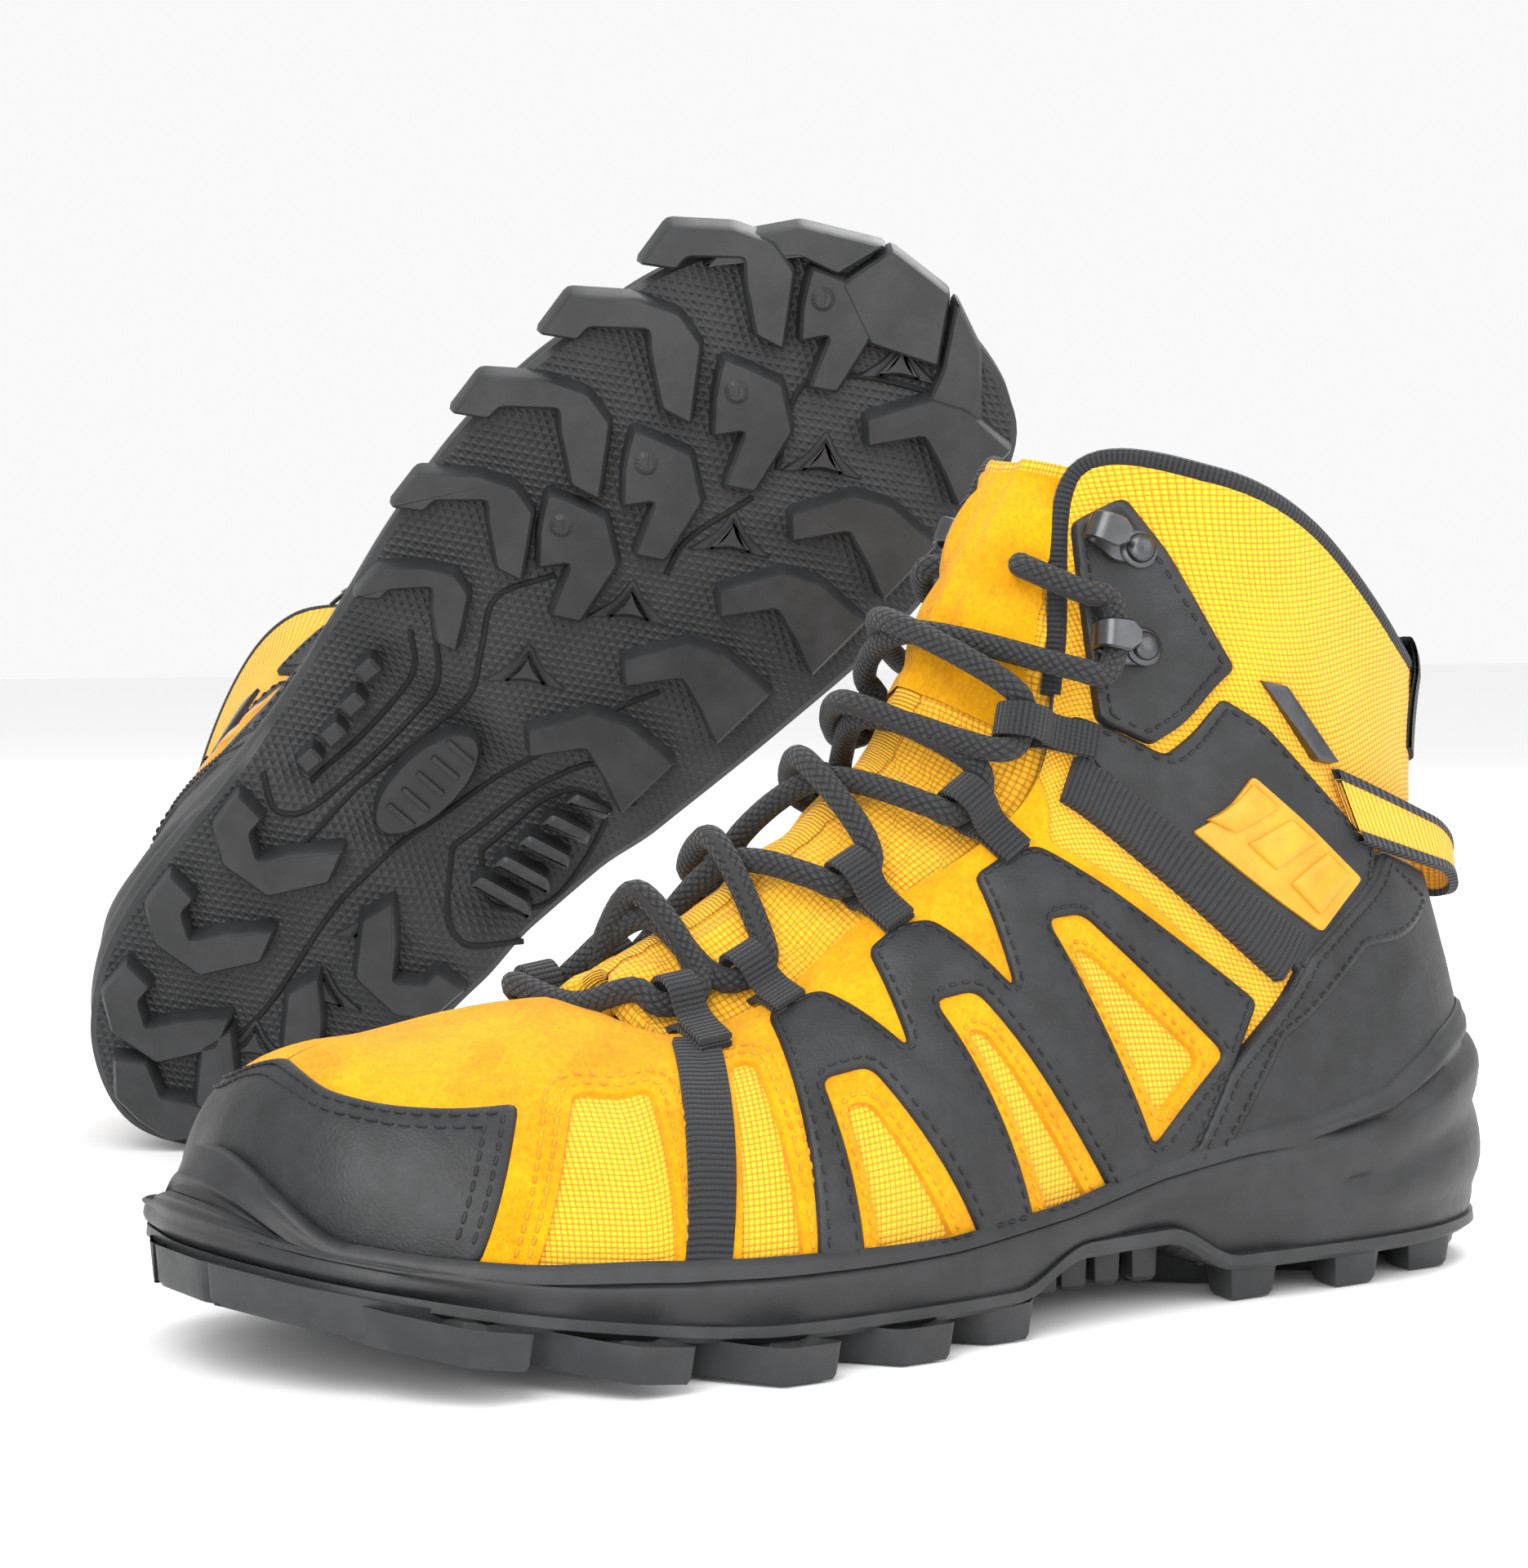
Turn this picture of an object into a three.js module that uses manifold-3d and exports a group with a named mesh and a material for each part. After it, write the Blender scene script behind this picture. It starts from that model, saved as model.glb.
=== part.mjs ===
// A pair of mid-height mountaineering boots. The left boot stands on the ground and the right
// boot, its mirror image, lies back on its heel behind it with the sole showing.
//
// One boot is described in its own frame: x runs from the heel (0) to the toe (300), y is the
// distance to the outer (lateral) side of the foot, z is up, and everything is in millimetres.
// Places on the upper are given as [station, up]: the station counts from the toe tip (0) along
// the lateral side to the middle of the heel (15) and back along the medial side to the toe (30),
// and up runs from the sole (0) to the ridge of the vamp, the eyestay or the collar edge (1).
import * as THREE from 'three';
import { mergeVertices } from 'three/addons/utils/BufferGeometryUtils.js';
import { TessellateModifier } from 'three/addons/modifiers/TessellateModifier.js';
import Module from 'manifold-3d';

const wasm = await Module();
wasm.setup();

// ---- driving dimensions ----
const GAP = 0.5;                 // between pieces that touch
const PLATE_GAP = 1.1;           // below the flat-faceted sheets that lie on the upper
const UPPER_WALL = 3;
const INNER_FLOOR_UP = 0.06;     // how far up the floor inside the upper lies
const LUG_DEPTH = 6.3;
const OUTSOLE_BASE = 3;
const TOE_SPRING = 15;           // rise of the ground line at the toe tip
const TOE_SPRING_START = 200;
const BOOT_LENGTH = 300;
const ARCH_RISE = 4;
const LACE_RADIUS = 2.5;
const WEBBING = 1.2;             // thickness of the webbing
const LOOP_WIDTH = 6.5;
const HEEL = 15;                 // station in the middle of the heel
const RING = 2 * HEEL;           // stations all round the boot
const THROAT = 4;                // station where the lacing opening starts
const LOOP_STATIONS = [5.25, 6, 7.1, 8.15, 9.4];
const HOOK_PLACES = [[10.35, 0.9], [10.85, 0.94]];

// The pair's origin lies on the ground in the middle of the left boot's heel lug.
const HEEL_LUG_X = 11;

// Pose of the leaning right boot: rolled on its side, toe raised, then turned.
const LEAN_ROLL = -68.1;
const LEAN_PITCH = -46;
const LEAN_TURN = -42.7;
const LEAN_HEEL = [-192.7, 260.5, 5.14];

// Side profiles from toe tip to heel: sole, lower handle, upper handle, top, as [x, y, z].
const PROFILES = [
  [[280, 0, 24], [284, 0, 38], [277, 0, 55], [258, 0, 57]],
  [[272, 24, 22], [276, 28, 38], [268, 17, 55.5], [258, 0, 57]],
  [[258, 37, 19], [260, 42, 37], [258, 20, 57], [258, 0, 57]],
  [[243, 46, 16.5], [244, 50, 37], [243, 26, 58], [243, 0, 57.8]],
  [[225, 51, 15], [225, 56, 38], [222, 28, 60], [216, 0, 62.5]],
  [[212, 53.5, 14.5], [212, 57, 36], [206, 38, 52], [203, 23, 57]],
  [[190, 54, 15], [190, 58, 38], [184, 36, 58], [181, 23, 63]],
  [[162, 50, 17], [161, 54, 42], [163, 36, 70], [161.5, 24, 78]],
  [[132, 43, 20], [130, 46, 45], [136, 35, 82], [137.5, 25, 91]],
  [[106, 38, 22.5], [103, 40, 50], [120, 34, 88], [124, 25, 104]],
  [[86, 36, 24], [82, 40, 55], [108, 30, 100], [117, 22, 128]],
  [[66, 35, 24.5], [62, 41, 60], [98, 28, 120], [109, 17, 163]],
  [[46, 33, 25], [42, 40, 62], [84, 27, 115], [90, 35, 162]],
  [[28, 28, 25], [24, 36, 60], [64, 25, 105], [66, 36, 152]],
  [[12, 17, 25], [8, 20, 60], [36, 14, 95], [34, 23, 130]],
  [[4, 0, 24], [10, 0, 55], [17, 0, 85], [13, 0, 121]],
].map((profile) => profile.map((p) => new THREE.Vector3(...p)));

// How far up the rubber wall of the midsole reaches at each station.
const RUBBER_UP = [0.36, 0.09, 0.08, 0.08, 0.09, 0.1, 0.08, 0.045, 0.045, 0.08, 0.09, 0.09, 0.12,
  0.21, 0.27, 0.28];

// Middle of the tongue at stations 5 to 11, as [x, z].
const TONGUE_MIDDLE = [[206, 68], [188, 77], [168, 89], [148, 106], [142, 115], [133, 132],
  [114, 166]];

// ---- curves and surfaces of the upper ----
const smooth = THREE.MathUtils.smoothstep;
const wrap = (station) => ((station % RING) + RING) % RING;

// The foot's middle line swings towards the big toe.
const middleY = (x) => -5 * smooth(x, 120, 260);

const groundRise = (x) => {
  const run = (x - TOE_SPRING_START) / (BOOT_LENGTH - 3 - TOE_SPRING_START);
  return TOE_SPRING * Math.max(run, 0) ** 1.5;
};

const archRise = (x) => ARCH_RISE * smooth(x, 86, 104) * (1 - smooth(x, 126, 146));

// Slope of one handle of the profiles at a station; a coordinate that stands still has none.
function handleSlope(station, handle) {
  const here = PROFILES[station][handle];
  const before = PROFILES[Math.max(station - 1, 0)][handle];
  const after = PROFILES[Math.min(station + 1, HEEL)][handle];
  const slope = after.clone().sub(before);
  if (station === 0 || station === HEEL) return slope.setX(0).setZ(0);
  for (const axis of ['x', 'y', 'z']) {
    const still = here[axis] === before[axis] || here[axis] === after[axis];
    slope[axis] = still ? 0 : slope[axis] / 2;
  }
  return slope;
}

function profileHandle(station, handle) {
  const i = Math.min(Math.floor(station), HEEL - 1);
  const u = station - i;
  const h1 = u * u * (3 - 2 * u);
  const point = PROFILES[i][handle].clone().multiplyScalar(1 - h1);
  point.addScaledVector(PROFILES[i + 1][handle], h1);
  point.addScaledVector(handleSlope(i, handle), u * (1 - u) ** 2);
  return point.addScaledVector(handleSlope(i + 1, handle), u * u * (u - 1));
}

function profileCurve(station) {
  return new THREE.CubicBezierCurve3(...[0, 1, 2, 3].map((k) => profileHandle(station, k)));
}

// The outer surface of the upper.
function surface(station, up) {
  const around = wrap(station);
  const medial = around > HEEL;
  const point = profileCurve(medial ? RING - around : around).getPoint(up);
  if (!medial) return point.setY(middleY(point.x) + point.y);
  const offset = point.y;
  const waist = smooth(point.x, 90, 190);
  const forward = 0.5 * offset * waist * (1 - smooth(point.x, 250, 290));
  point.z += (groundRise(point.x + forward) - groundRise(point.x)) * (1 - up);
  point.x += forward;
  return point.setY(middleY(point.x) - offset * (1 - 0.13 * waist));
}

const isRidge = (station) => wrap(station) < THROAT + 0.01 || wrap(station) > RING - THROAT - 0.01;

// Outward normal of the upper, with both sides agreeing where they meet.
function normal(station, up) {
  let around = wrap(station);
  const onRidge = up > 0.99 && isRidge(around);
  if (onRidge) around = Math.max(Math.min(around, RING - around), 2.2);
  const v = Math.min(Math.max(up, 0.03), 0.97);
  const along = surface(around + 0.05, v).sub(surface(around - 0.05, v));
  const rise = surface(around, v + 0.03).sub(surface(around, v - 0.03));
  const out = along.cross(rise).normalize();
  const onMiddle = Math.abs(wrap(station)) < 0.01 || Math.abs(wrap(station) - HEEL) < 0.01;
  if (onRidge || onMiddle) out.setY(0).normalize();
  return out;
}

const lifted = (station, up, lift) => surface(station, up).addScaledVector(normal(station, up), lift);

// ---- closed meshes ----
function meshOf(positions, triangles) {
  const loose = new THREE.BufferGeometry();
  loose.setAttribute('position', new THREE.Float32BufferAttribute(positions.flatMap((p) => p.toArray()), 3));
  loose.setIndex(triangles);
  const merged = mergeVertices(loose, 1e-3);
  const index = merged.getIndex().array;
  const kept = [];
  for (let i = 0; i < index.length; i += 3) {
    const [a, b, c] = index.slice(i, i + 3);
    if (a !== b && b !== c && c !== a) kept.push(a, b, c);
  }
  merged.setIndex(kept);
  merged.computeVertexNormals();
  return merged;
}

// Rings of points stacked from below to above; the first and last are closed by cross rungs.
function stackedRings(rings, skipWall = () => false) {
  const count = rings[0].length;
  const positions = rings.flat();
  const triangles = [];
  for (let r = 0; r + 1 < rings.length; r += 1) {
    for (let i = 0; i < count; i += 1) {
      if (skipWall(r, i)) continue;
      const a = r * count + i;
      const b = r * count + ((i + 1) % count);
      triangles.push(a, b, a + count, b, b + count, a + count);
    }
  }
  const lid = (start, facingUp) => {
    for (let i = 0; i < count / 2; i += 1) {
      const a = start + i;
      const b = start + i + 1;
      const c = start + ((count - i) % count);
      const d = start + count - i - 1;
      if (facingUp) triangles.push(a, b, c, b, d, c);
      else triangles.push(a, c, b, b, c, d);
    }
  };
  lid(0, false);
  lid((rings.length - 1) * count, true);
  return meshOf(positions, triangles);
}

// Stations all round the boot: every station, or every half station round the toe and the heel.
const COARSE = Array.from({ length: RING }, (_, i) => i);
const FINE = Array.from({ length: 2 * RING }, (_, i) => i / 2).filter((s) => {
  const fromToe = Math.min(s, RING - s);
  return Number.isInteger(s) || fromToe < THROAT || fromToe > 11;
});
const ringOf = (pointAt, stations = COARSE) => stations.map(pointAt);

// A ring in the shape of the sole, a margin outside the upper's foot and at a height over ground.
function soleRing(margin, height, arch = 0, stations = COARSE) {
  return ringOf((station) => {
    const point = surface(station, 0);
    const out = normal(station, 0.03).setZ(0).normalize();
    point.addScaledVector(out, margin);
    return point.setZ(groundRise(point.x) + height + arch * archRise(point.x));
  }, stations);
}

// A sheet of even thickness lying on the upper, cut to an outline of [station, up] points.
const STATION_PITCH = 20;
const SIDE_HEIGHT = 90;
function plate(outline, { lift = PLATE_GAP, thickness = 2, edge = 15 } = {}) {
  const shape = new THREE.Shape(outline.map(([s, u]) => new THREE.Vector2(s * STATION_PITCH, u * SIDE_HEIGHT)));
  const flat = new THREE.ExtrudeGeometry(shape, { depth: thickness, bevelEnabled: false });
  const fine = new TessellateModifier(edge, 8).modify(flat);
  const points = fine.getAttribute('position');
  const positions = [];
  for (let i = 0; i < points.count; i += 1) {
    const station = points.getX(i) / STATION_PITCH;
    const extra = typeof lift === 'function' ? lift(station) : lift;
    positions.push(lifted(station, points.getY(i) / SIDE_HEIGHT, extra + points.getZ(i)));
  }
  return meshOf(positions, positions.map((_, i) => i));
}

const mirrored = (outline) => outline.map(([s, u]) => [RING - s, u]).reverse();

// A round section swept along points.
function tube(points, radius, steps, sides = 6) {
  const section = new THREE.Shape();
  for (let i = 0; i < sides; i += 1) {
    const angle = (2 * Math.PI * i) / sides;
    if (i === 0) section.moveTo(radius, 0);
    else section.lineTo(radius * Math.cos(angle), radius * Math.sin(angle));
  }
  const extrudePath = new THREE.CatmullRomCurve3(points, false, 'centripetal');
  const swept = new THREE.ExtrudeGeometry(section, { steps, extrudePath, curveSegments: 1 });
  return welded(swept);
}

function welded(geometry) {
  const plain = geometry.clone();
  plain.deleteAttribute('normal');
  plain.deleteAttribute('uv');
  return mergeVertices(plain, 1e-3);
}

// ---- boolean joins ----
function solidOf(geometry) {
  const plain = welded(geometry);
  return new wasm.Manifold(new wasm.Mesh({
    numProp: 3,
    vertProperties: new Float32Array(plain.getAttribute('position').array),
    triVerts: new Uint32Array(plain.getIndex().array),
  }));
}

function geometryOf(solid) {
  const { vertProperties, triVerts } = solid.getMesh();
  const geometry = new THREE.BufferGeometry();
  geometry.setAttribute('position', new THREE.BufferAttribute(new Float32Array(vertProperties), 3));
  geometry.setIndex(new THREE.BufferAttribute(new Uint32Array(triVerts), 1));
  return geometry;
}

const joined = (geometries) => geometryOf(geometries.map(solidOf).reduce((sum, next) => sum.add(next)));

// ---- sole unit ----
// A lug or block of the tread, as a prism from the ground up into the outsole's base.
function lug(outline, foot = 0) {
  const shape = new THREE.Shape(outline.map(([x, y]) => new THREE.Vector2(x, y)));
  const prism = new THREE.ExtrudeGeometry(shape, { depth: LUG_DEPTH + 1 - foot, bevelEnabled: false });
  const points = prism.getAttribute('position');
  for (let i = 0; i < points.count; i += 1) {
    points.setZ(i, points.getZ(i) + foot + groundRise(points.getX(i)));
  }
  return prism;
}

// Chevron lug at the edge of the sole: an arm from the edge inwards with its point bent forward.
function edgeLug(x, edge, width, reach) {
  const side = Math.sign(edge);
  const inner = edge - side * reach;
  return lug([
    [x - width / 2, edge], [x + width / 2, edge], [x + width / 2 - 4, edge - side * reach * 0.5],
    [x + width / 2 + 4, inner], [x - width / 2 + 6, inner], [x - width / 2 - 5, edge - side * reach * 0.5],
  ]);
}

function blockLug(x, y, size) {
  return lug([[x + size, y], [x - size * 0.4, y + size * 0.8], [x - size * 0.6, y - size * 0.8]]);
}

function outsole() {
  const base = stackedRings([
    soleRing(3.5, LUG_DEPTH, 1),
    soleRing(5, LUG_DEPTH + OUTSOLE_BASE * 0.5, 1),
    soleRing(5, LUG_DEPTH + OUTSOLE_BASE, 1),
  ]);
  const lateral = [[267, 45], [243, 52], [218, 58.5], [192, 60.5], [167, 57], [146, 50]];
  const medial = [[279, -41], [258, -47], [230, -52.5], [203, -52], [176, -45], [152, -39]];
  const heel = [[80, 37.5], [54, 35.5], [29, 30], [80, -36], [54, -35], [29, -29]];
  const middle = [[253, 12], [222, 14], [192, 14], [164, 12], [237, -22], [206, -24], [176, -20]];
  const lugs = [
    ...lateral.map(([x, y]) => edgeLug(x, y, 13, 22)),
    ...medial.map(([x, y]) => edgeLug(x, y, 13, 17)),
    ...heel.map(([x, y]) => edgeLug(x, y, 13, 20)),
    ...middle.map(([x, y]) => blockLug(x, y, 9)),
    lug([[12, -16], [4, -8], [4, 8], [12, 16], [18, 10], [18, -10]]),
    lug([[282, -32], [289, -20], [290, -2], [284, 14], [274, 12], [276, -24]]),
  ];
  return joined([base, ...lugs]);
}

// The midsole is a tray: its floor carries the upper and its wall covers the upper's foot.
function rubberUp(station) {
  const around = wrap(station);
  const t = around > HEEL ? RING - around : around;
  const i = Math.min(Math.floor(t), HEEL - 1);
  return THREE.MathUtils.lerp(RUBBER_UP[i], RUBBER_UP[i + 1], t - i);
}

const SHANK = { from: 76, to: 158, half: 11, floor: 19, thickness: 1.6, tilt: 0.083 };

function shankPlate(grow, rise) {
  const { from, to, half, thickness } = SHANK;
  const shape = new THREE.Shape();
  shape.moveTo(from - grow, -half - grow);
  shape.lineTo(to + grow, -half * 0.7 - grow);
  shape.lineTo(to + grow, half * 0.7 + grow);
  shape.lineTo(from - grow, half + grow);
  const bar = new THREE.ExtrudeGeometry(shape, { depth: thickness + rise, bevelEnabled: false });
  bar.translate(-(from + to) / 2, 0, 0);
  bar.rotateY(SHANK.tilt);
  return bar.translate((from + to) / 2, -1, SHANK.floor - (grow > 0 ? GAP : 0) - 1.5);
}

function midsole() {
  const bottom = LUG_DEPTH + OUTSOLE_BASE + GAP;
  const wall = (share, lift) => ringOf((s) => lifted(s, share * rubberUp(s), lift), FINE);
  const floor = ringOf((s) => lifted(s, 0, PLATE_GAP).setZ(surface(s, 0).z - PLATE_GAP), FINE);
  const tray = stackedRings([
    soleRing(4, bottom, 1, FINE),
    soleRing(6, bottom + 3, 0.5, FINE),
    wall(0.5, 5),
    wall(1, 4),
    wall(1, PLATE_GAP),
    wall(0.5, PLATE_GAP),
    floor,
  ]);
  return geometryOf(solidOf(tray).subtract(solidOf(shankPlate(GAP, 12))));
}

// ---- upper and its linings ----
function upper() {
  const rows = 6;
  const outer = [];
  const inner = [];
  for (let j = 0; j <= rows; j += 1) {
    const up = j / rows;
    outer.push(ringOf((s) => surface(s, up), FINE));
    inner.unshift(ringOf((s) => lifted(s, Math.max(up, INNER_FLOOR_UP), -UPPER_WALL), FINE));
  }
  const ridgeWall = (row, i) => row === rows && isRidge(FINE[i]) && isRidge(FINE[(i + 1) % FINE.length]);
  return stackedRings([...outer, ...inner], ridgeWall);
}

function footbed() {
  const inset = UPPER_WALL + 5.5;
  const ring = (height) => ringOf((s) => {
    const floor = lifted(s, INNER_FLOOR_UP, -UPPER_WALL);
    return lifted(s, 0.16, -inset).setZ(floor.z + 2.6 + height);
  }, FINE);
  return stackedRings([ring(0), ring(4)]);
}

const lateralToeCap = [[0, 0.79], [0.95, 0.64], [1.8, 0.56], [2.65, 0.54], [3.25, 0.54], [2.9, 0.35],
  [2.5, 0.14], [1.5, 0.14], [0.9, 0.17], [0.45, 0.32]];
const toeCapOutline = [...mirroredToe(lateralToeCap.slice(1)), ...lateralToeCap, [0, 0.43]];

// The same outline on the medial side of the toe, counted down from station 0.
function mirroredToe(outline) {
  return outline.map(([s, u]) => [-s, u]).reverse();
}

const cageOutline = [
  [5.98, 0.13], [5.86, 0.84], [6.05, 0.86], [6.4, 0.81], [6.9, 0.52], [6.88, 0.82], [7.15, 0.84],
  [7.38, 0.81], [7.8, 0.55], [7.82, 0.84], [8.2, 0.85], [8.55, 0.81], [10.25, 0.29], [9.25, 0.14],
  [8.5, 0.13], [7.5, 0.59], [7.2, 0.61], [7.72, 0.11], [7.33, 0.11], [6.55, 0.53], [6.15, 0.55],
  [6.36, 0.13],
];

const heelCounterOutline = (() => {
  const side = [[9.75, 0.14], [10.6, 0.24], [11.4, 0.33], [13.1, 0.51], [14, 0.55]];
  const foot = [[13.8, 0.31], [13, 0.26], [12.2, 0.18], [11, 0.14]];
  const farSide = mirrored(side);
  const farFoot = mirrored(foot);
  return [...side, [HEEL, 0.56], ...farSide, ...farFoot, [HEEL, 0.33], ...foot];
})();

function collarPad() {
  const from = 11.7;
  const to = RING - from;
  return plate([[from, 0.5], [to, 0.5], [to, 0.96], [from, 0.96]],
    { lift: -UPPER_WALL - 1.2 - 6, thickness: 6, edge: 22 });
}

function collarPiping() {
  const from = 9.7;
  const points = [];
  for (let s = from; s <= RING - from + 0.01; s += 0.4) {
    const rim = surface(s, 1);
    const rise = rim.clone().sub(surface(s, 0.95)).normalize();
    points.push(rim.addScaledVector(normal(s, 1), -1.5).addScaledVector(rise, 3.5));
  }
  return tube(points, 1.7, 38);
}

function heelLoop() {
  const from = 12.8;
  const to = RING - from;
  const bow = (station) => PLATE_GAP + 7.5 * Math.sin((Math.PI * (station - from)) / (to - from)) ** 2;
  return plate([[from, 0.53], [to, 0.53], [to, 0.63], [from, 0.63]], { lift: bow, thickness: 1.6, edge: 13 });
}

const pullTab = () => plate([[14.45, 0.86], [15.55, 0.86], [15.55, 1.09], [14.45, 1.09]],
  { lift: 0.8, thickness: 1.8 });

// ---- tongue ----
function tongueMiddle(station) {
  const i = Math.min(Math.max(Math.floor(station) - 5, 0), TONGUE_MIDDLE.length - 2);
  const u = station - 5 - i;
  const [x0, z0] = TONGUE_MIDDLE[i];
  const [x1, z1] = TONGUE_MIDDLE[i + 1];
  return new THREE.Vector3(x0 + (x1 - x0) * u, 0, z0 + (z1 - z0) * u);
}

// Unit directions at the edge of the throat: across to the middle, along it upwards, and outwards.
function edgeFrame(station, up = 1) {
  const edge = surface(station, up);
  const out = normal(station, up);
  const along = surface(station + 0.05, up).sub(surface(station - 0.05, up));
  along.addScaledVector(out, -along.dot(out)).normalize();
  if (along.x > 0) along.negate();
  const across = new THREE.Vector3().crossVectors(out, along);
  if (across.y * edge.y > 0) across.negate();
  return { edge, across, along, out };
}

// Across the throat from the lateral wing of the tongue, over its middle, to the medial wing.
function tongueRow(station, depth) {
  const middle = tongueMiddle(station);
  const rise = tongueMiddle(station + 0.3).sub(tongueMiddle(station - 0.3)).normalize();
  const up = new THREE.Vector3(rise.z, 0, -rise.x);
  const half = (side) => {
    const s = side > 0 ? station : RING - station;
    const { edge, across, out } = edgeFrame(s);
    const wing = lifted(s, 0.88, -4.8 - depth);
    const tuck = edge.clone().addScaledVector(across, 1.2).addScaledVector(out, -4.8 - depth);
    const low = edge.clone().addScaledVector(across, 10).addScaledVector(out, -3.4 - depth);
    const shoulder = edge.clone().lerp(middle, 0.68).addScaledVector(up, -0.5 - depth);
    return [wing, tuck, low, shoulder];
  };
  return [...half(1), middle.addScaledVector(up, -depth), ...half(-1).reverse()];
}

function tongue() {
  const first = 5;
  const last = 9.9;
  const rowCount = 11;
  const thickness = 5;
  const rows = [];
  for (let r = 0; r < rowCount; r += 1) {
    const station = THREE.MathUtils.lerp(first, last, r / (rowCount - 1));
    rows.push([...tongueRow(station, 0), ...tongueRow(station, thickness).reverse()]);
  }
  const count = rows[0].length;
  const triangles = [];
  for (let r = 0; r + 1 < rowCount; r += 1) {
    for (let i = 0; i < count; i += 1) {
      const a = r * count + i;
      const b = r * count + ((i + 1) % count);
      triangles.push(a, a + count, b, b, a + count, b + count);
    }
  }
  const end = (start, flip) => {
    for (let i = 0; i + 1 < count / 2; i += 1) {
      const quad = [start + i, start + i + 1, start + count - 1 - i, start + count - 2 - i];
      const faces = [quad[0], quad[1], quad[2], quad[1], quad[3], quad[2]];
      triangles.push(...(flip ? faces.reverse() : faces));
    }
  };
  end(0, false);
  end((rowCount - 1) * count, true);
  return meshOf(rows.flat(), triangles);
}

// The free top of the tongue, above the topmost run of the lace.
const TONGUE_TOP = { low: [129.5, 142], high: [111.5, 169], half: 8, thickness: 7 };

function tongueTop() {
  const { low, high, half, thickness } = TONGUE_TOP;
  const back = new THREE.Vector2(high[1] - low[1], low[0] - high[0]).normalize().multiplyScalar(-thickness);
  const shape = new THREE.Shape([
    new THREE.Vector2(...low), new THREE.Vector2(...high),
    new THREE.Vector2(high[0] + back.x, high[1] + back.y), new THREE.Vector2(low[0] + back.x, low[1] + back.y),
  ]);
  const slab = new THREE.ExtrudeGeometry(shape, { depth: 2 * half, bevelEnabled: false });
  return slab.rotateX(Math.PI / 2).translate(0, half, 0);
}

// ---- lacing hardware ----
const sideStation = (side, station) => (side > 0 ? station : RING - station);

// Matrix that puts a piece drawn in (across, out, along) coordinates at a place on the surface.
function placeOn({ edge, across, along, out }) {
  const basis = new THREE.Matrix4().makeBasis(across, out, new THREE.Vector3().crossVectors(across, out));
  return basis.setPosition(edge.clone());
}

const LOOP_EYE = { across: 6.6, out: 4.4, hole: 4.4 };

// Webbing folded round the lace and sewn down behind the edge of the eyestay.
function webbingLoop(side, number, tail = -5.5) {
  const station = LOOP_STATIONS[number - 1];
  const frame = edgeFrame(sideStation(side, station));
  const { across, out, hole } = LOOP_EYE;
  const outer = hole + WEBBING;
  const foot = 2.6;
  const shape = new THREE.Shape();
  shape.moveTo(tail, foot);
  shape.lineTo(across - outer, foot - 0.3);
  shape.absarc(across, out, outer, -2.5, 2.0, false);
  shape.lineTo(tail, foot + 2 * WEBBING);
  const eye = new THREE.Path();
  eye.absarc(across, out, hole, 0, 2 * Math.PI, true);
  shape.holes.push(eye);
  const loop = new THREE.ExtrudeGeometry(shape, { depth: LOOP_WIDTH, bevelEnabled: false, curveSegments: 4 });
  loop.translate(0, 0, -LOOP_WIDTH / 2);
  return loop.applyMatrix4(placeOn(frame));
}

const HOOK = { lift: 3.1, base: [-14.5, 1], hood: -6.5, inside: [1.3, 7.5], width: 8, wall: 0.9, rivet: -10.5 };

// A hook bent from sheet metal, open away from the throat, with its rivet.
function laceHook(side, number) {
  const [station, up] = HOOK_PLACES[number - 1];
  const frame = edgeFrame(sideStation(side, station), up);
  const [back, front] = HOOK.base;
  const [low, high] = HOOK.inside;
  const profile = new THREE.Shape([
    [back, low - HOOK.wall], [front, low - HOOK.wall], [front, high + HOOK.wall], [HOOK.hood, high + HOOK.wall],
    [HOOK.hood, high], [front - HOOK.wall, high], [front - HOOK.wall, low], [back, low],
  ].map((p) => new THREE.Vector2(...p)));
  const bent = new THREE.ExtrudeGeometry(profile, { depth: HOOK.width, bevelEnabled: false });
  bent.translate(0, HOOK.lift, -HOOK.width / 2);
  const rivet = new THREE.CylinderGeometry(2.6, 3.6, 2.2, 12);
  rivet.translate(HOOK.rivet, HOOK.lift + low + 0.9, 0);
  return joined([bent, rivet]).applyMatrix4(placeOn(frame));
}

// Strap of webbing sewn down the side, joined to the loop at its top.
function strapWithLoop(side, number, outline) {
  const placed = outline.map(([s, u]) => [sideStation(side, s), u]);
  const strap = plate(side > 0 ? placed : placed.reverse(), { lift: PLATE_GAP, thickness: 2.2 });
  return joined([webbingLoop(side, number, -13), strap]);
}

const forefootStrap = [[4.7, 0.14], [5.2, 0.14], [5.3, 0.5], [5.42, 0.93], [5.02, 0.93], [4.85, 0.5]];
const ankleStrap = [[9.12, 0.9], [9.55, 0.93], [11.3, 0.37], [10.9, 0.33]];

// ---- lace ----
const at = ({ edge, across, along, out }, a, b, c) => edge.clone()
  .addScaledVector(across, a).addScaledVector(along, b).addScaledVector(out, c);

// Through a loop from below to above, on one side.
function throughLoop(side, level) {
  const frame = edgeFrame(sideStation(side, LOOP_STATIONS[level]));
  const { across, out } = LOOP_EYE;
  const end = LOOP_WIDTH / 2 + 0.6;
  const turn = end + 2.6;
  return [at(frame, across + 4, -turn, out + 2), at(frame, across + 0.4, -end, out),
    at(frame, across + 0.4, end, out), at(frame, across + 4, turn, out + 2)];
}

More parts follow.
